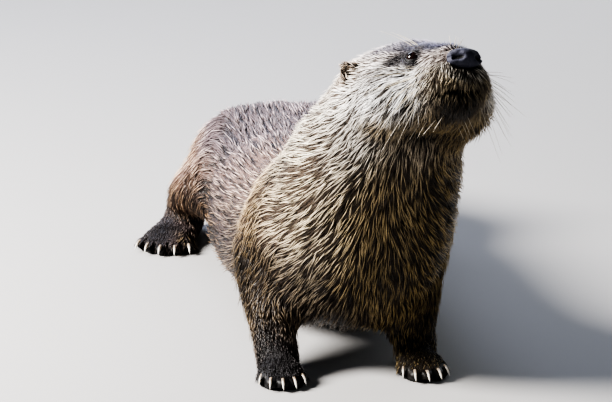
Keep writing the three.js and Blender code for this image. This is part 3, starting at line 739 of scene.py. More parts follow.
def lid_shape(places, word, opening):
    """Draws the skin round an eye: a pointed opening with a rim over the ball.

    Gives the places, and how far each lies from the middle of the eye, where 1 is the edge of the opening.
    """
    centre, outward, noseward, up = eye_frame(word)
    offset = places - centre
    height, x, y = offset @ outward, offset @ noseward, offset @ up
    across, angle = np.hypot(x, y), np.arctan2(y, x)
    wide, high = np.abs(np.cos(angle) / opening[0]), np.abs(np.sin(angle) / opening[1])
    reach = across * (wide ** LID_POINT + high ** LID_POINT) ** (1 / LID_POINT)
    rim = EYE_RADIUS + LID_THICKNESS
    fold = 0.45 * bell(reach, 1.3, 0.3) * ease(-0.2, 0.8, np.sin(angle))
    dome = rim - 0.62 * across ** 2 / rim + fold
    lid = (height + dome + np.sqrt((height - dome) ** 2 + 1.0)) / 2
    bed = np.sqrt(np.maximum((EYE_RADIUS - BALL_BED) ** 2 - across ** 2, 0.1))
    shaped = bed + (lid - bed) * ease(0.86, 1.04, reach)
    hold = ease(17, 12, across) * (height > 0)
    return places + outward * ((shaped - height) * hold)[:, None], np.where(height > 0, reach, NO_EYE)


def ear_frame(word):
    """The centre of an ear's hollow, and its axes: outward, forward along the head, and up."""
    outward = unit(HEAD.direction((0.45, SIDES[word] * 0.80, 0.38)))
    forward = unit(without(HEAD.axes[0], outward))
    centre = spot("ear_" + word) + HEAD.direction((5, 0, -3))
    return centre, outward, forward, np.cross(outward, forward) * -SIDES[word]


def ear_hollow(places, word):
    """1 inside an ear's hollow, falling to 0 at its rim."""
    centre, outward, forward, up = ear_frame(word)
    offset = places - centre
    across = np.hypot(offset @ forward, offset @ up)
    return ease(5.2, 2.8, across) * (np.abs(offset @ outward) < 16)


def ear_shape(places, word, height):
    """Raises an ear: a low round rim, open towards the nose, about a hollow."""
    centre, outward, forward, up = ear_frame(word)
    offset = places - centre
    x, y = offset @ forward, offset @ up
    across, angle = np.hypot(x, y), np.arctan2(y, x)
    open_front = ease(-0.75, 0.45, np.cos(angle - math.radians(150)))
    rim = height * open_front * bell(across, EAR_RIM, np.where(across < EAR_RIM, *EAR_SPREAD))
    hollow = EAR_DEPTH * bell(across, 0, EAR_BOWL)
    near = np.abs(offset @ outward) < 18
    raised = (outward + EAR_LEAN * forward) * rim[:, None] - outward * hollow[:, None]
    return places + raised * near[:, None]


def toe_line(claw):
    """Where a toe starts in the foot and where it ends, a little past the root of its claw."""
    root, tip = claw_line(claw)
    end = root + unit((tip - root) * (1, 1, 0)) * 3.5
    start = end + (foot_middle(claw) - end) * 0.7
    start[2], end[2] = 9.5, 5.2
    return start, end


def add_toes(form):
    """Adds the toes, each as a row of balls that narrows towards the claw."""
    for claw in (claw for leg in LEGS for claw in claws_of(leg)):
        start, end = toe_line(claw)
        for share in np.linspace(0, 1, 7):
            place = Matrix.Translation(Vector((start + (end - start) * share) * MM))
            radius = (6.2 - 0.9 * share) * MM
            bmesh.ops.create_icosphere(form, subdivisions=2, radius=radius, matrix=place)


def web_shape(places):
    """Lowers and draws back the skin between the toes, so that each toe stands free at its end."""
    places = places.copy()
    for leg in LEGS:
        gap, past = np.full(len(places), 99.0), np.zeros(len(places))
        for start, end in map(toe_line, claws_of(leg)):
            way = unit((end - start) * (1, 1, 0))
            offset = places - end
            along = offset @ way
            across = np.linalg.norm((offset - way * along[:, None])[:, :2], axis=1)
            distance = np.hypot(across, np.maximum(along, 0))
            past = np.where(distance < gap, along, past)
            gap = np.minimum(gap, distance)
        near = np.linalg.norm((places - spot(leg + "_foot"))[:, :2], axis=1) < 70
        web = ease(4.2, 7.5, gap) * ease(-30, -12, past) * near * (places[:, 2] < 26)
        places[:, 2] *= 1 - 0.55 * web
        places -= foot_heading(leg) * (web * np.clip(past + 11, 0, 12) * 0.8)[:, None]
    return places


def carve_mouth(places, normals, level):
    """Presses the line between the lips into the skin. Gives the places, and 1 in the line."""
    x, _, z = HEAD.local(places).T
    line = level + 0.05 * x + 3.0 * ease(30, 44, x)
    inside = ease(-34, -22, x)
    groove = bell(z, line, 1.6) * inside
    swell = bell(z, line + 5.5, 3.5) * inside * ease(-8, 14, x)
    return places + normals * (0.9 * swell - 1.6 * groove)[:, None], groove


def skin_mesh(voxel):
    """One even surface over the whole body, with finer faces on the toes, face, ears and eyes."""
    body = merged_nodes(FLESH + ["eye_left", "eye_right", "nose"], 0.45)
    add_toes(body)
    mesh = voxel_remeshed(body, voxel, "skin")
    form = bmesh.new()
    form.from_mesh(mesh)
    toes = [spot(leg + "_claw_3") - foot_heading(leg) * 14 for leg in LEGS]
    refine(form, [(HEAD.world((-2, 0, -14)), 52)] + [(toe, 34) for toe in toes])
    refine(form, [(HEAD.world((34, 0, -8)), 22)])
    refine(form, [(spot("ear_" + word), reach) for reach in (22, 17) for word in SIDES])
    refine(form, [(spot("eye_" + word), reach) for reach in (17, 12) for word in SIDES])
    bmesh.ops.triangulate(form, faces=form.faces)
    bmesh.ops.recalc_face_normals(form, faces=form.faces)
    form.to_mesh(mesh)
    form.free()
    return mesh


def shape_skin(skin, settings):
    """Softens the skin, draws it in by the coat's depth, and forms its features.

    Gives the coats' shares, the normals and the lie of the coat from before the skin was drawn in, how
    hairless each place is, and how far it lies from an eye, in openings of the lids.
    """
    shares, _, _ = coat_plan(skin.places, skin.normals())
    skin.places = skin.spread(skin.places, planned(shares, "soften"), 44)
    ground = skin.places[:, 2].copy()
    skin.places = web_shape(skin.places)
    normals = skin.normals()
    shares, lie, _ = coat_plan(skin.places, normals)
    depth = skin.spread(planned(shares, "depth"), 0.5, 12)
    skin.places, groove = carve_mouth(flat_nose(skin.places), normals, settings.mouth_level / MM)
    skin.places -= normals * depth[:, None]
    bed = nose_bed(skin.places)
    skin.places -= normals * (4.5 * bed)[:, None]
    bare = np.maximum(ease(0.1, 0.5, bed), ease(0.6, 0.9, groove))
    lids = np.full(len(skin.places), NO_EYE)
    for word in SIDES:
        skin.places = ear_shape(skin.places, word, settings.ears / MM)
        skin.places, reach = lid_shape(skin.places, word, [size / MM for size in settings.opening])
        near = np.linalg.norm(skin.places - spot("eye_" + word), axis=1) < 18
        lids = np.where(near, np.minimum(lids, reach), lids)
        bare = np.maximum(bare, 0.5 * ear_hollow(skin.places, word))
    skin.places = skin.spread(skin.places, 0.5 * ease(0.98, 1.1, lids) * ease(3.6, 2.4, lids), 12)
    bare = np.maximum(bare, ease(1.45, 1.25, lids))
    # Soles are bare and flat on the floor, and the toes are bare at their ends.
    foot = share_of(shares, "foot")
    skin.places[(ground < 0.9) & (foot > 0.3), 2] = 0
    skin.places[:, 2] = np.maximum(skin.places[:, 2], 0)
    bare = np.maximum(bare, foot * ease(-0.2, -0.6, normals[:, 2]))
    ends = [toe_line(claw)[1] for leg in LEGS for claw in claws_of(leg)]
    bare = np.maximum(bare, ease(9.5, 6.5, nearest_distance(skin.places, ends)))
    return shares, normals, lie, bare, lids


class OtterSkinSettings(bpy.types.PropertyGroup):
    voxel: FloatProperty(name="Skin grid", description="Size of the skin's faces", default=0.0031,
                         unit="LENGTH")
    opening: FloatVectorProperty(name="Eye opening", default=(0.0058, 0.0037), size=2, unit="LENGTH",
                                 description="Half width and half height between the lids")
    mouth_level: FloatProperty(name="Mouth level", description="Height of the lips' line against the eyes",
                               default=-0.033, unit="LENGTH")
    ears: FloatProperty(name="Ears", description="How far the rims of the ears stand out", default=0.0060,
                        unit="LENGTH")


class OTTER_OT_skin(bpy.types.Operator):
    """One seamless skin under the coat, with lids, lips and toes"""
    bl_idname = "otter.skin"
    bl_label = "Skin"

    # How much less of each field of the plan a lock has right beside an eye.
    less_by_eye = {"length": 0.62, "lift": 0.5, "guard": 0.3, "gather": 0, "ridge": 0}
    less_otherwise = 0.35

    def execute(self, context):
        settings = context.scene.otter_skin
        mesh = skin_mesh(settings.voxel / MM)
        skin = Surface(mesh)
        shares, normals, lie, bare, lids = shape_skin(skin, settings)

        # Colours change over more than the coat's other fields, and the skin is darker than the locks' roots.
        root, tip, guard = markings(skin.places, normals, skin.spread(shares, 0.5, 140))
        dark_rim = ease(3.4, 2.2, lids)[:, None]
        under = root * 0.7
        write_colour(mesh, "coat_colour", under + (rgb("#080607") - under) * dark_rim)
        write_colour(mesh, "root_colour", root)
        write_colour(mesh, "tip_colour", tip)
        write_colour(mesh, "guard_colour", guard)
        write_attribute(mesh, "bare", np.maximum(bare, share_of(shares, "foot") * 0.5))
        write_attribute(mesh, "hairless", bare)
        write_attribute(mesh, "lie", unit(skin.spread(lie, 0.5, 10)))
        away = ease(7, 22, nearest_distance(skin.places, [spot("eye_" + word) for word in SIDES]))
        for field in LOCK_FIELDS:
            less = (1 - away) * self.less_by_eye.get(field, self.less_otherwise)
            write_attribute(mesh, field, skin.spread(planned(shares, field) * (1 - less), 0.5, 8))
        skin.write(mesh)
        show(mesh, underfur_and_skin(), "body_coat", *FLESH)
        return {"FINISHED"}


# ---------------------------------------------------------------- locks of hair
# A lock's stations from root to tip: the share of its length and of its width. The tip itself is a point.
SHORT_LOCK = ((0.0, 0.60), (0.42, 1.0))
LONG_LOCK = ((0.0, 0.50), (0.28, 1.0), (0.66, 0.72))
# A lock has three sides. Its colour carries a painted highlight along its ridge and at its tip, and painted
# shade where its sides tuck under the next.
LOCK_SIDES = np.radians([90, 210, 330])
SIDE_SHADES = (1.15, 0.70, 0.70)
TIP_TONE = 1.1
# The size of each lock's patch on the map of the skin, the uv layer OFBake.
PATCH = 0.003

# How single guard hairs and locks of underfur differ: how far they stray, their length, lift and drawing
# together against the plan, their tone, and how soon along their length they take their tip's colour.
Strand = namedtuple("Strand", "stray length lift draw tone ramp")
GUARD_HAIR = Strand(1.3, 1.05, 1.25, 0.5, 0.72, 2.4)
UNDERFUR = Strand(0.8, 0.95, 1.0, 1.0, 1.10, 1.6)

# The pieces of the coat, each with the record's slot, the part of the body, and its side if it is halved.
CoatPiece = namedtuple("CoatPiece", "name slot part side")
COAT_PIECES = (
    CoatPiece("coat_face", "pale_coat", "face", 0),
    CoatPiece("coat_crown", "body_coat", "crown", 0),
    CoatPiece("coat_cheek_left", "pale_coat", "cheek_left", 0),
    CoatPiece("coat_cheek_right", "pale_coat", "cheek_right", 0),
    CoatPiece("coat_neck", "body_coat", "neck", 0),
    CoatPiece("coat_chest", "body_coat", "chest", 0),
    CoatPiece("coat_trunk_left", "body_coat", "trunk", 1),
    CoatPiece("coat_trunk_right", "body_coat", "trunk", -1),
    CoatPiece("coat_rump_left", "body_coat", "rump", 1),
    CoatPiece("coat_rump_right", "body_coat", "rump", -1),
    CoatPiece("coat_tail", "leg_and_tail_coat", "tail", 0),
    CoatPiece("coat_upper_legs", "body_coat", "upper_legs", 0),
    CoatPiece("coat_forelegs", "leg_and_tail_coat", "forelegs", 0),
    CoatPiece("coat_hindlegs", "leg_and_tail_coat", "hindlegs", 0),
)
GUIDE_WAYS = np.array([guide_frame(guide)[0] for guide in GUIDES])
GUIDE_RIDGES = np.array([COATS[guide.coat].ridge for guide in GUIDES])


def lock_triangles(stations, count):
    """The triangles of this many closed locks."""
    rings = len(stations)
    faces = [(0, 2, 1)]
    for low in range(0, rings * 3 - 3, 3):
        for a, b in ((0, 1), (1, 2), (2, 0)):
            faces += [(low + a, low + b, low + 3 + b), (low + a, low + 3 + b, low + 3 + a)]
    last = rings * 3 - 3
    faces += [(last + a, last + (a + 1) % 3, rings * 3) for a in range(3)]
    return (np.array(faces)[None] + np.arange(count)[:, None, None] * (rings * 3 + 1)).reshape(-1, 3)


def lock_places(stations, line, across, over, width, flatness=0.5):
    """The vertices of locks round a centre line, given as a function of the share of the length."""
    rings = []
    for share, broad in stations:
        centre = line(share)
        for angle in LOCK_SIDES:
            side = across * (math.cos(angle) * broad * width / 2)[:, None]
            rise = over * (math.sin(angle) * broad * width / 2 * flatness)[:, None]
            rings.append(centre + side + rise)
    rings.append(line(1.0))
    return np.stack(rings, axis=1)


def scatter(skin, density, chance):
    """Seeded places on the skin, this many to the square millimetre: their triangles and weights."""
    wanted = np.cumsum(skin.areas() * density[skin.triangles].mean(1)) + chance.random()
    counts = np.diff(np.floor(np.concatenate([[0], wanted]))).astype(int)
    triangle = np.repeat(np.arange(len(counts)), counts)
    u, v = chance.random((2, len(triangle)))
    flip = u + v > 1
    u[flip], v[flip] = 1 - u[flip], 1 - v[flip]
    return triangle, np.stack([1 - u - v, u, v], axis=1)


def sample(skin, values, triangle, weights):
    """Values of the skin's vertices at scattered places."""
    corners = values[skin.triangles[triangle]]
    shape = weights.shape + (1,) * (corners.ndim - 2)
    return (corners * weights.reshape(shape)).sum(1)


def sprout(skin, fields, spots):
    """The skin's fields at scattered places, with the guide nearest to each and the way that it grows."""
    at = {name: sample(skin, values, *spots) for name, values in fields.items()}
    at["normal"] = unit(at["normal"])
    at["guide"] = coat_plan(at["place"], at["normal"])[2]
    turn = (0.22 * ripple(at["place"], 26, 21) + 0.18 * ripple(at["place"], 11, 22)) * at["wander"]
    at["way"] = turned(at["lie"], np.cross(at["normal"], at["lie"]), turn)
    return at


def along_guides(at):
    """Places pressed together along their guides, and set apart by guide, to find the nearest ridge."""
    along = GUIDE_WAYS[at["guide"]]
    apart = at["guide"][:, None] * np.array([0, 0, 1000.0])
    pressed = (at["place"] * along).sum(1) * (1 - 1 / GUIDE_RIDGES[at["guide"]])
    return at["place"] - along * pressed[:, None] + apart


def comb(lock, seed, settings, chance):
    """Draws the locks together into wet ridges, and gives each its own size, way, curve and tone."""
    tree = search_tree(along_guides(seed))
    nearest = np.array([tree.find(place)[1] for place in along_guides(lock)])
    mood = chance.random((len(seed["place"]), 3))[nearest]
    count = len(nearest)
    odd = chance.random((count, 6))
    guard = odd[:, 4] < lock["guard"] * settings.guard

    def either(field):
        return np.where(guard, getattr(GUARD_HAIR, field), getattr(UNDERFUR, field))

    stray = settings.unruly * chance.normal(size=count) * either("stray") * lock["wander"]
    normal = lock["normal"]
    way = turned(lock["way"], unit(np.cross(normal, lock["way"])), stray)
    side = np.cross(normal, way)
    # Each lock leans across to its ridge's line, and is shorter, lower and painted darker in the furrow
    # beside it, the darkness a painted shade.
    offset = without(seed["place"][nearest] - lock["place"], GUIDE_WAYS[lock["guide"]])
    across = np.clip((offset * side).sum(1), -lock["clump"], lock["clump"])
    apart = np.where(guard, 0, ease(0.1, 0.6, np.abs(across) / lock["clump"]))
    furrow = apart * lock["gather"]
    width = np.where(guard, lock["strand"] * (0.75 + 0.5 * odd[:, 3]), lock["width"])
    length = lock["length"] * settings.length * (0.78 + 0.35 * odd[:, 0] + 0.18 * mood[:, 0])
    length *= either("length") - 0.25 * furrow
    lift = np.radians(lock["lift"]) * (0.60 + 0.5 * odd[:, 1] + 0.3 * mood[:, 1])
    lift *= either("lift") - 0.45 * apart
    draw = settings.gather * lock["gather"] * (0.6 + 0.6 * odd[:, 2]) * either("draw")
    bend = 0.16 * length * chance.normal(size=count) * lock["wander"]
    # Guard hairs differ in brightness more than locks do, and all differ a little; locks in a furrow are
    # painted darker as painted shade.
    tone = either("tone") - 0.72 * furrow + 0.45 * odd[:, 5] * guard
    tone *= 0.95 + 0.10 * mood[:, 2] + 0.24 * (odd[:, 3] - 0.5)
    return {
        "place": lock["place"], "guide": lock["guide"], "normal": normal, "way": way, "side": side,
        "start": lock["place"] + normal * (0.06 * length * guard - 0.25 * width)[:, None],
        "run": (length * np.cos(lift))[:, None], "rise": (length * np.sin(lift))[:, None],
        "shift": side * (across * draw)[:, None], "bend": bend, "width": width, "guard": guard,
        "ramp": either("ramp"), "tone": tone, "root": lock["root_colour"],
        "tip": np.where(guard[:, None], lock["guard_colour"], lock["tip_colour"])}


def locks_of(piece, lock):
    """The locks that belong to a piece of the coat."""
    mine = np.zeros(len(lock["place"]), bool)
    for number, guide in enumerate(GUIDES):
        if guide.part == piece.part:
            left = (lock["place"] - guide.start) @ guide_frame(guide)[1]
            mine |= (lock["guide"] == number) & ((left > 0) == (piece.side > 0) if piece.side else True)
    return {name: values[mine] for name, values in lock.items()}


def unwrap(places, nearest):
    """The places of locks on a map of the skin, which is rolled out round the guide nearest to each place.

    Each guide has a band of the map: across it is the turn round the guide, and up it is the way along it.
    """
    mapped = np.zeros((len(places), 2))
    used = np.unique(nearest)
    for row, number in enumerate(used):
        mine = nearest == number
        along, left, over = guide_frame(GUIDES[number])
        offset = places[mine] - GUIDES[number].start
        turn, reach = np.arctan2(offset @ over, offset @ left), offset @ along
        for column, values in enumerate((turn, reach)):
            mapped[mine, column] = (values - values.min()) / max(np.ptp(values), 1e-6)
        mapped[mine, 1] = (row + 0.01 + 0.98 * mapped[mine, 1]) / len(used)
    mapped[:, 0] = 0.01 + 0.98 * mapped[:, 0]
    return mapped


def coat_mesh(name, stations, lock):
    """A mesh of locks, with their colours and their patches on the map of the skin."""
    def line(share):
        arch = lock["rise"] * (share * 1.5 - 0.65 * share * share)
        sway = lock["side"] * (lock["bend"] * share * (1 - share))[:, None]
        straight = lock["start"] + lock["way"] * lock["run"] * share + lock["normal"] * arch
        return straight + sway + lock["shift"] * share ** 1.4

    places = lock_places(stations, line, lock["side"], lock["normal"], lock["width"])
    places[..., 2] = np.maximum(places[..., 2], 0.05)
    triangles = lock_triangles(stations, len(lock["place"]))
    mesh = triangle_mesh(name, places.reshape(-1, 3), triangles)
    rings = len(stations)
    ramp = np.repeat([share for share, _ in stations] + [1.0], [3] * rings + [1])
    ramp = np.clip(ramp[None] * lock["ramp"][:, None], 0, 1)[..., None]
    # Each lock's colour takes the painted highlight along its ridge and the painted shade on its sides, times
    # its own tone.
    shades_and_tones = np.array(SIDE_SHADES * rings + (TIP_TONE,))[None, :, None]
    shades_and_tones = np.where(lock["guard"][:, None, None], 0.5 + 0.5 * shades_and_tones, shades_and_tones) * lock["tone"][:, None, None]
    mixed = lock["root"][:, None] * (1 - ramp) + lock["tip"][:, None] * ramp
    write_colour(mesh, "coat_colour", (mixed * shades_and_tones).reshape(-1, 3))
    corners = [(side / 2 - 0.5, ring / rings - 0.5) for ring in range(rings) for side in range(3)]
    corners.append((0, 0.5))
    patch = unwrap(lock["place"], lock["guide"])[:, None] + np.array(corners)[None] * PATCH
    layer = mesh.uv_layers.new(name="OFBake")
    layer.uv.foreach_set("vector", patch.reshape(-1, 2)[triangles.ravel()].astype(np.float32).ravel())
    return mesh


class OtterCoatSettings(bpy.types.PropertyGroup):
    locks: IntProperty(name="Locks", description="How many locks the coat has in all", default=140000)
    length: FloatProperty(name="Length", description="Length of the locks against the plan", default=1.0)
    gather: FloatProperty(name="Gather", description="How far wet tips draw together against the plan",
                          default=0.6)
    guard: FloatProperty(name="Guard hairs", default=1.0,
                         description="How many single guard hairs lie over the locks against the plan")
    unruly: FloatProperty(name="Unruly", description="How far locks stray from the way the coat lies",
                          default=0.16)
    seed: IntProperty(name="Seed", description="Seed of the coat's chance", default=7)


class OTTER_OT_coat(bpy.types.Operator):
    """The damp coat, as solid locks rooted in the skin and lying along it"""
    bl_idname = "otter.coat"
    bl_label = "Coat"

    def execute(self, context):
        settings = context.scene.otter_coat
        mesh = bpy.data.objects["skin"].data
        skin = Surface(mesh)
        chance = np.random.default_rng(settings.seed)
        normals = skin.normals()
        fields = {name: read_attribute(mesh, name) for name in (
            *LOCK_FIELDS, "hairless", "lie", "root_colour", "tip_colour", "guard_colour")}
        fields.update(place=skin.places, normal=normals, lie=unit(without(fields["lie"], normals)))

        # No hair grows on bare skin, or where the body rests on the floor.
        off_floor = ease(0.4, 1.0, skin.places[:, 2] + (normals[:, 2] + 1) * 3)
        haired = ease(0.9, 0.4, fields["hairless"]) * off_floor
        density = haired / fields["spacing"] ** 2
        thinning = settings.locks / (skin.areas() * density[skin.triangles].mean(1)).sum()
        # The seeds are points that wet ridges run through.
        seeds = scatter(skin, haired / fields["clump"] ** 2 / fields["ridge"], chance)
        locks = scatter(skin, density * thinning, chance)
        lock = comb(sprout(skin, fields, locks), sprout(skin, fields, seeds), settings, chance)
        material = damp_guard_hair()
        for piece in COAT_PIECES:
            stations = LONG_LOCK if piece.part.startswith("cheek") else SHORT_LOCK
            show(coat_mesh(piece.name, stations, locks_of(piece, lock)), material, piece.slot)
        return {"FINISHED"}


# ---------------------------------------------------------------- eyes, nose, claws and whiskers
class OTTER_OT_eyes(bpy.types.Operator):
    """Two wet dark eyes, each a ball with a raised cornea"""
    bl_idname = "otter.eyes"
    bl_label = "Eyes"

    # How far the pupil and the iris reach from the way the eye looks, in degrees.
    pupil_edge = 14
    iris_edge = 44

    def execute(self, context):
        material = wet_eye()
        pupil, iris, white = rgb("#030203"), rgb("#1c1210"), rgb("#241c1c")
        for word, side in SIDES.items():
            centre, outward, noseward, up = eye_frame(word)
            form = bmesh.new()
            bmesh.ops.create_uvsphere(form, u_segments=48, v_segments=32, radius=EYE_RADIUS)
            # The ball's pole looks outward, and the cornea stands a little prouder than the ball.
            for vertex in form.verts:
                away = math.degrees(vertex.co.angle(Vector((0, 0, 1))))
                vertex.co *= 1 + 0.035 * float(ease(42, 20, away))
            turn = Matrix([noseward * -side, up, outward]).transposed()
            if turn.determinant() < 0:
                raise RuntimeError("the eye's frame is left-handed")
            bmesh.ops.rotate(form, verts=form.verts, cent=(0, 0, 0), matrix=turn)
            bmesh.ops.scale(form, verts=form.verts, vec=(MM, MM, MM))
            bmesh.ops.translate(form, verts=form.verts, vec=Vector(centre * MM))
            mesh = mesh_of(form, "eyeball_" + word)
            offset = unit(read(mesh.vertices, "co", 3) / MM - centre)
            away = np.degrees(np.arccos(np.clip(offset @ outward, -1, 1)))[:, None]
            colour = np.where(away < self.pupil_edge, pupil, np.where(away < self.iris_edge, iris, white))
            write_colour(mesh, "eye_colour", colour)
            show(mesh, material, "eye", "eye_" + word)
        return {"FINISHED"}


class OTTER_OT_nose(bpy.types.Operator):
    """The bare nose pad, with its two nostrils and the groove between them"""
    bl_idname = "otter.nose"
    bl_label = "Nose"

    def execute(self, context):
        mesh = voxel_remeshed(merged_nodes(["nose"]), 0.55, "nose_pad")
        pad = Surface(mesh)
        pad.places = pad.spread(pad.places, 0.5, 14)
        pad.places += pad.normals() * 0.35
        x, y, z = (HEAD.local(pad.places) - NOSE).T
        hole = np.zeros(len(x))
        for side in SIDES.values():
            # A round front opening that runs out and back as a narrow slit.
            opening = bell(y * side, 8.4, 3.9) * bell(z, -0.8, 2.8)
            slit = bell(z, 0.2, 0.9) * ease(8, 11, y * side) * ease(18, 14, y * side)
            hole = np.maximum(hole, np.maximum(opening, 0.45 * slit) * (x > -3))
        groove = bell(y, 0, 0.7) * ease(1.5, -3, z) * (x > 0)
        crest = bell(y, 0, 6) * bell(z, 5, 4)
        pad.places -= pad.normals() * (3.0 * hole + 0.55 * groove - 0.5 * crest)[:, None]
        pad.places = flat_nose(pad.spread(pad.places, 0.3, 3))
        # The hollows of the nostrils are painted nearly black, as painted shade.
        write_attribute(mesh, "nostril", ease(0.25, 0.8, hole))
        pad.write(mesh)
        show(mesh, moist_nose_leather(), "nose_skin", "nose")
        return {"FINISHED"}


def claw_form(form, root, tip, radius):
    """Adds one curved claw to the form: a ring drawn out and narrowed to a point that bends down."""
    rings = 7
    along = unit(tip - root)
    side = unit(np.cross(along, (0, 0, 1)))
    over = np.cross(side, along)
    layers = [bmesh.ops.create_circle(form, cap_ends=True, segments=12, radius=1.0)["verts"]]
    for _ in range(rings):
        ring = layers[-1]
        edges = {e for v in ring for e in v.link_edges if e.verts[0] in ring and e.verts[1] in ring}
        made = bmesh.ops.extrude_edge_only(form, edges=list(edges))["geom"]
        layers.append([item for item in made if isinstance(item, bmesh.types.BMVert)])
    for number, layer in enumerate(layers):
        share = number / rings
        size = radius * (1 - share ** 1.7) + 0.12
        middle = root + (tip - root) * share + over * (0.9 * radius * math.sin(math.pi * share))
        for vertex in layer:
            place = middle + side * (vertex.co.x * 0.8 * size) + over * (vertex.co.y * 1.15 * size)
            vertex.co = Vector(place * MM)
    bmesh.ops.contextual_create(form, geom=layers[-1])
    return layers


class OTTER_OT_claws(bpy.types.Operator):
    """Twenty pale claws, five to a foot"""
    bl_idname = "otter.claws"
    bl_label = "Claws"

    def execute(self, context):
        material = claw_horn()
        pale, brown = Vector(linear("#f4efe6")), Vector(linear("#9c8c7a"))
        for leg in LEGS:
            form = bmesh.new()
            shade = form.verts.layers.float_color.new("claw_colour")
            for claw in claws_of(leg):
                root, tip = claw_line(claw)
                along = unit((tip - root) * (1, 1, 0))
                # A claw springs from the top of the toe, and ends just past the toe's pad.
                start, end = root + along * 0.5, root + along * 9.5
                start[2], end[2] = 8.6, 2.6
                layers = claw_form(form, start, end, 1.75)
                for number, layer in enumerate(layers):
                    share = min(1.0, max(0.0, number / len(layers) * 2.2 - 0.5))
                    for vertex in layer:
                        vertex[shade] = brown.lerp(pale, share)
            bmesh.ops.recalc_face_normals(form, faces=form.faces)
            show(mesh_of(form, "claws_" + leg), material, "claw", *claws_of(leg))
        return {"FINISHED"}


class OTTER_OT_whiskers(bpy.types.Operator):
    """Whiskers of the lips, brows and nose, each a fine tapered hair"""
    bl_idname = "otter.whiskers"
    bl_label = "Whiskers"

    width = 0.55

    def execute(self, context):
        tree = search_tree(Surface(bpy.data.objects["skin"].data).places)
        chance = np.random.default_rng(31)
        roots, ways, lengths = [], [], []

        def grow(x, y, z, way, length):
            roots.append(tree.find(HEAD.world((x, y, z)))[0])
            ways.append(unit(HEAD.direction(way)))
            lengths.append(length)

        for side in SIDES.values():
            # Five rows on the lips, longer and turned further back from the nose to the cheek.
            for row in range(5):
                for column in range(5):
                    back = column / 4
                    jitter = chance.normal(0, 0.7, 3)
                    way = (0.25 - 0.75 * back, side * (0.9 - 0.15 * row / 4), 0.05 - 0.28 * row)
                    grow(31 - 22 * back + jitter[0], side * 24, -13 - 4 * row + jitter[2],
                         np.array(way) + chance.normal(0, 0.09, 3), 18 + 34 * back * chance.uniform(0.7, 1.1))
            # Three over each eye, and four on each side of the chin.
            for number in range(3):
                way = (-0.55, side * (0.5 + 0.1 * number), 0.7)
                grow(-2 - 3 * number, side * 17, 12, way, 22 + 5 * number)
            for number in range(4):
                grow(20 - 9 * number, side * (8 + 2 * number), -44, (-0.3, side * 0.6, -0.8), 16)
        # Three short ones stand behind the nose pad.
        for number in range(3):
            grow(24 + 2 * number, -3 + 3 * number, 8, (0.1, 0.1 * (number - 1), 1), 10)
        root, way, length = np.array(roots), np.array(ways), np.array(lengths)
        side = unit(np.cross(way, (0, 0, 1.0)))
        over = np.cross(side, way)
        droop = np.array([0, 0, -1.0]) * (0.12 * length)[:, None]
        sway = side * (0.10 * length * chance.normal(size=len(length)))[:, None]

        def line(share):
            return root + way * (length * share)[:, None] + (droop + sway) * share * share

        stations = [(share, 1 - 0.8 * share) for share in np.linspace(0, 0.92, 9)]
        places = lock_places(stations, line, side, over, np.full(len(length), self.width), flatness=1.0)
        mesh = triangle_mesh("whiskers", places.reshape(-1, 3), lock_triangles(stations, len(length)))
        show(mesh, whisker_keratin(), "pale_coat")
        return {"FINISHED"}


# ---------------------------------------------------------------- the stage
# The lights: their places about the neck, to the camera's right, up and towards it, in times this distance in
# metres, their sizes, their shares of the key's power, and their colours.
LIGHT_DISTANCE = 1.9
Light = namedtuple("Light", "name place size share colour")
LIGHTS = (
    # A large warm lamp high on the otter's right.
    Light("key_softbox", (-0.85, 0.50, 0.15), 0.75, 1.0, (1.0, 0.965, 0.93)),
    # A cool lamp behind and above draws a faint rim along the back.
    Light("rim_softbox", (-0.35, 0.75, -0.70), 1.1, 0.12, (0.72, 0.78, 1.0)),
    # A third, behind the otter, brings up the side that faces away from the key.
    Light("fill_softbox", (0.42, 0.62, -1.05), 1.8, 0.15, (0.94, 0.96, 1.0)),
)
SKY_COLOUR = (0.80, 0.90, 1.0, 1.0)
FLOOR_REACH = 12.0
SENSOR = 36
# How far the nose lies right of the picture's middle and above it, in widths of the picture.
NOSE_RIGHT = 0.259804
NOSE_UP = 0.235294


class OtterStudioSettings(bpy.types.PropertyGroup):
    floor: FloatVectorProperty(name="Floor", description="Colour of the floor", default=(0.36, 0.355, 0.35),
                               subtype="COLOR", min=0, max=1)
    sky: FloatProperty(name="Sky", description="Strength of the even light all round", default=0.12)
    key: FloatProperty(name="Key", description="Power of the large light to the otter's right", default=170.0,
                       unit="POWER")
    azimuth: FloatProperty(name="Azimuth", description="Where the camera stands round the otter",
                           default=math.radians(82), unit="ROTATION")
    elevation: FloatProperty(name="Elevation", description="How far the camera looks down",
                             default=math.radians(14.5), unit="ROTATION")
    distance: FloatProperty(name="Distance", description="From the camera to the nose", default=2.7,
                            unit="LENGTH")
    lens: FloatProperty(name="Lens", description="Focal length", default=211.7647, unit="CAMERA")


def place_light(light, view, power):
    """Puts an area light in the scene, turned to the otter's neck. The view's axes are the camera's."""
    middle = Vector(spot("neck") * MM)
    lamp = bpy.data.lights.new(light.name, "AREA")
    lamp.shape = "DISK"
    lamp.size = light.size
    lamp.energy = power * light.share
    lamp.color = light.colour
    holder = bpy.data.objects.new(light.name, lamp)
    holder.location = middle + view @ Vector(light.place) * LIGHT_DISTANCE
    holder.rotation_euler = (middle - holder.location).to_track_quat("-Z", "Y").to_euler()
    bpy.context.scene.collection.objects.link(holder)


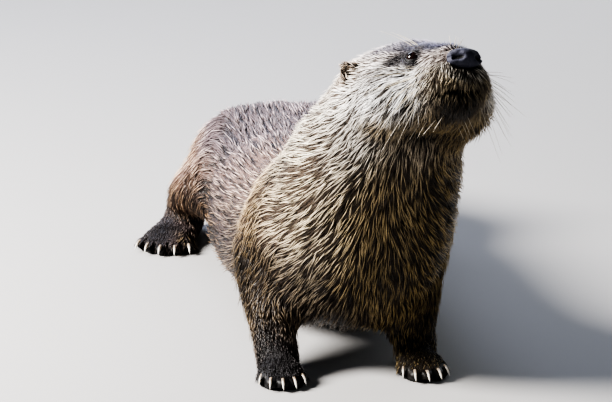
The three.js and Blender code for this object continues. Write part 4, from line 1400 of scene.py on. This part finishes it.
class OTTER_OT_studio(bpy.types.Operator):
    """A plain pale floor, soft studio light and the camera"""
    bl_idname = "otter.studio"
    bl_label = "Studio"

    def execute(self, context):
        scene, settings = context.scene, context.scene.otter_studio
        form = bmesh.new()
        bmesh.ops.create_grid(form, x_segments=2, y_segments=2, size=FLOOR_REACH)
        mesh = mesh_of(form, "floor")
        mesh.materials.append(matt_studio_floor(tuple(settings.floor)))
        floor = bpy.data.objects.new("floor", mesh)
        scene.collection.objects.link(floor)

        world = bpy.data.worlds.new("soft_sky")
        world.use_nodes = True
        background = world.node_tree.nodes["Background"]
        background.inputs["Color"].default_value = SKY_COLOUR
        background.inputs["Strength"].default_value = settings.sky
        scene.world = world

        a, e = settings.azimuth, settings.elevation
        back = Vector((math.sin(a) * math.cos(e), -math.cos(a) * math.cos(e), math.sin(e)))
        right = Vector((math.cos(a), math.sin(a), 0))
        view = Matrix([right, back.cross(right), back]).transposed()
        for light in LIGHTS:
            place_light(light, view, settings.key)
        # The picture's width at the nose sets how far to the nose's left and below it the camera stands.
        across = settings.distance * SENSOR / settings.lens
        offset = Vector((-NOSE_RIGHT * across, -NOSE_UP * across, settings.distance))
        data = bpy.data.cameras.new("camera")
        data.lens = settings.lens
        data.sensor_width = SENSOR
        data.clip_end = 50
        camera = bpy.data.objects.new("camera", data)
        camera.matrix_world = Matrix.Translation(Vector(spot("nose") * MM) + view @ offset) @ view.to_4x4()
        scene.collection.objects.link(camera)
        scene.camera = camera
        scene.view_settings.view_transform = "AgX"
        scene.view_settings.look = "AgX - High Contrast"
        return {"FINISHED"}


class OTTER_PT_panel(bpy.types.Panel):
    """Lists the otter's pieces and their settings"""
    bl_label = "River otter"
    bl_idname = "OTTER_PT_panel"
    bl_space_type = "VIEW_3D"
    bl_region_type = "UI"
    bl_category = "Otter"

    def draw(self, context):
        for operator in OPERATORS:
            self.layout.operator(operator.bl_idname)
        for group in GROUPS:
            settings = getattr(context.scene, group)
            box = self.layout.box()
            for name in settings.__annotations__:
                box.prop(settings, name)


OPERATORS = (OTTER_OT_skin, OTTER_OT_eyes, OTTER_OT_nose, OTTER_OT_claws, OTTER_OT_coat, OTTER_OT_whiskers,
             OTTER_OT_studio)
GROUPS = {"otter_skin": OtterSkinSettings, "otter_coat": OtterCoatSettings,
          "otter_studio": OtterStudioSettings}


def register():
    for cls in (*GROUPS.values(), *OPERATORS, OTTER_PT_panel):
        bpy.utils.register_class(cls)
    for name, cls in GROUPS.items():
        setattr(bpy.types.Scene, name, PointerProperty(type=cls))


def unregister():
    for name in GROUPS:
        delattr(bpy.types.Scene, name)
    for cls in reversed((*GROUPS.values(), *OPERATORS, OTTER_PT_panel)):
        bpy.utils.unregister_class(cls)


def main():
    """Makes every piece and the stage."""
    register()
    for operator in OPERATORS:
        module, name = operator.bl_idname.split(".")
        getattr(getattr(bpy.ops, module), name)()
    bpy.context.view_layer.update()


if __name__ == "__main__":
    main()
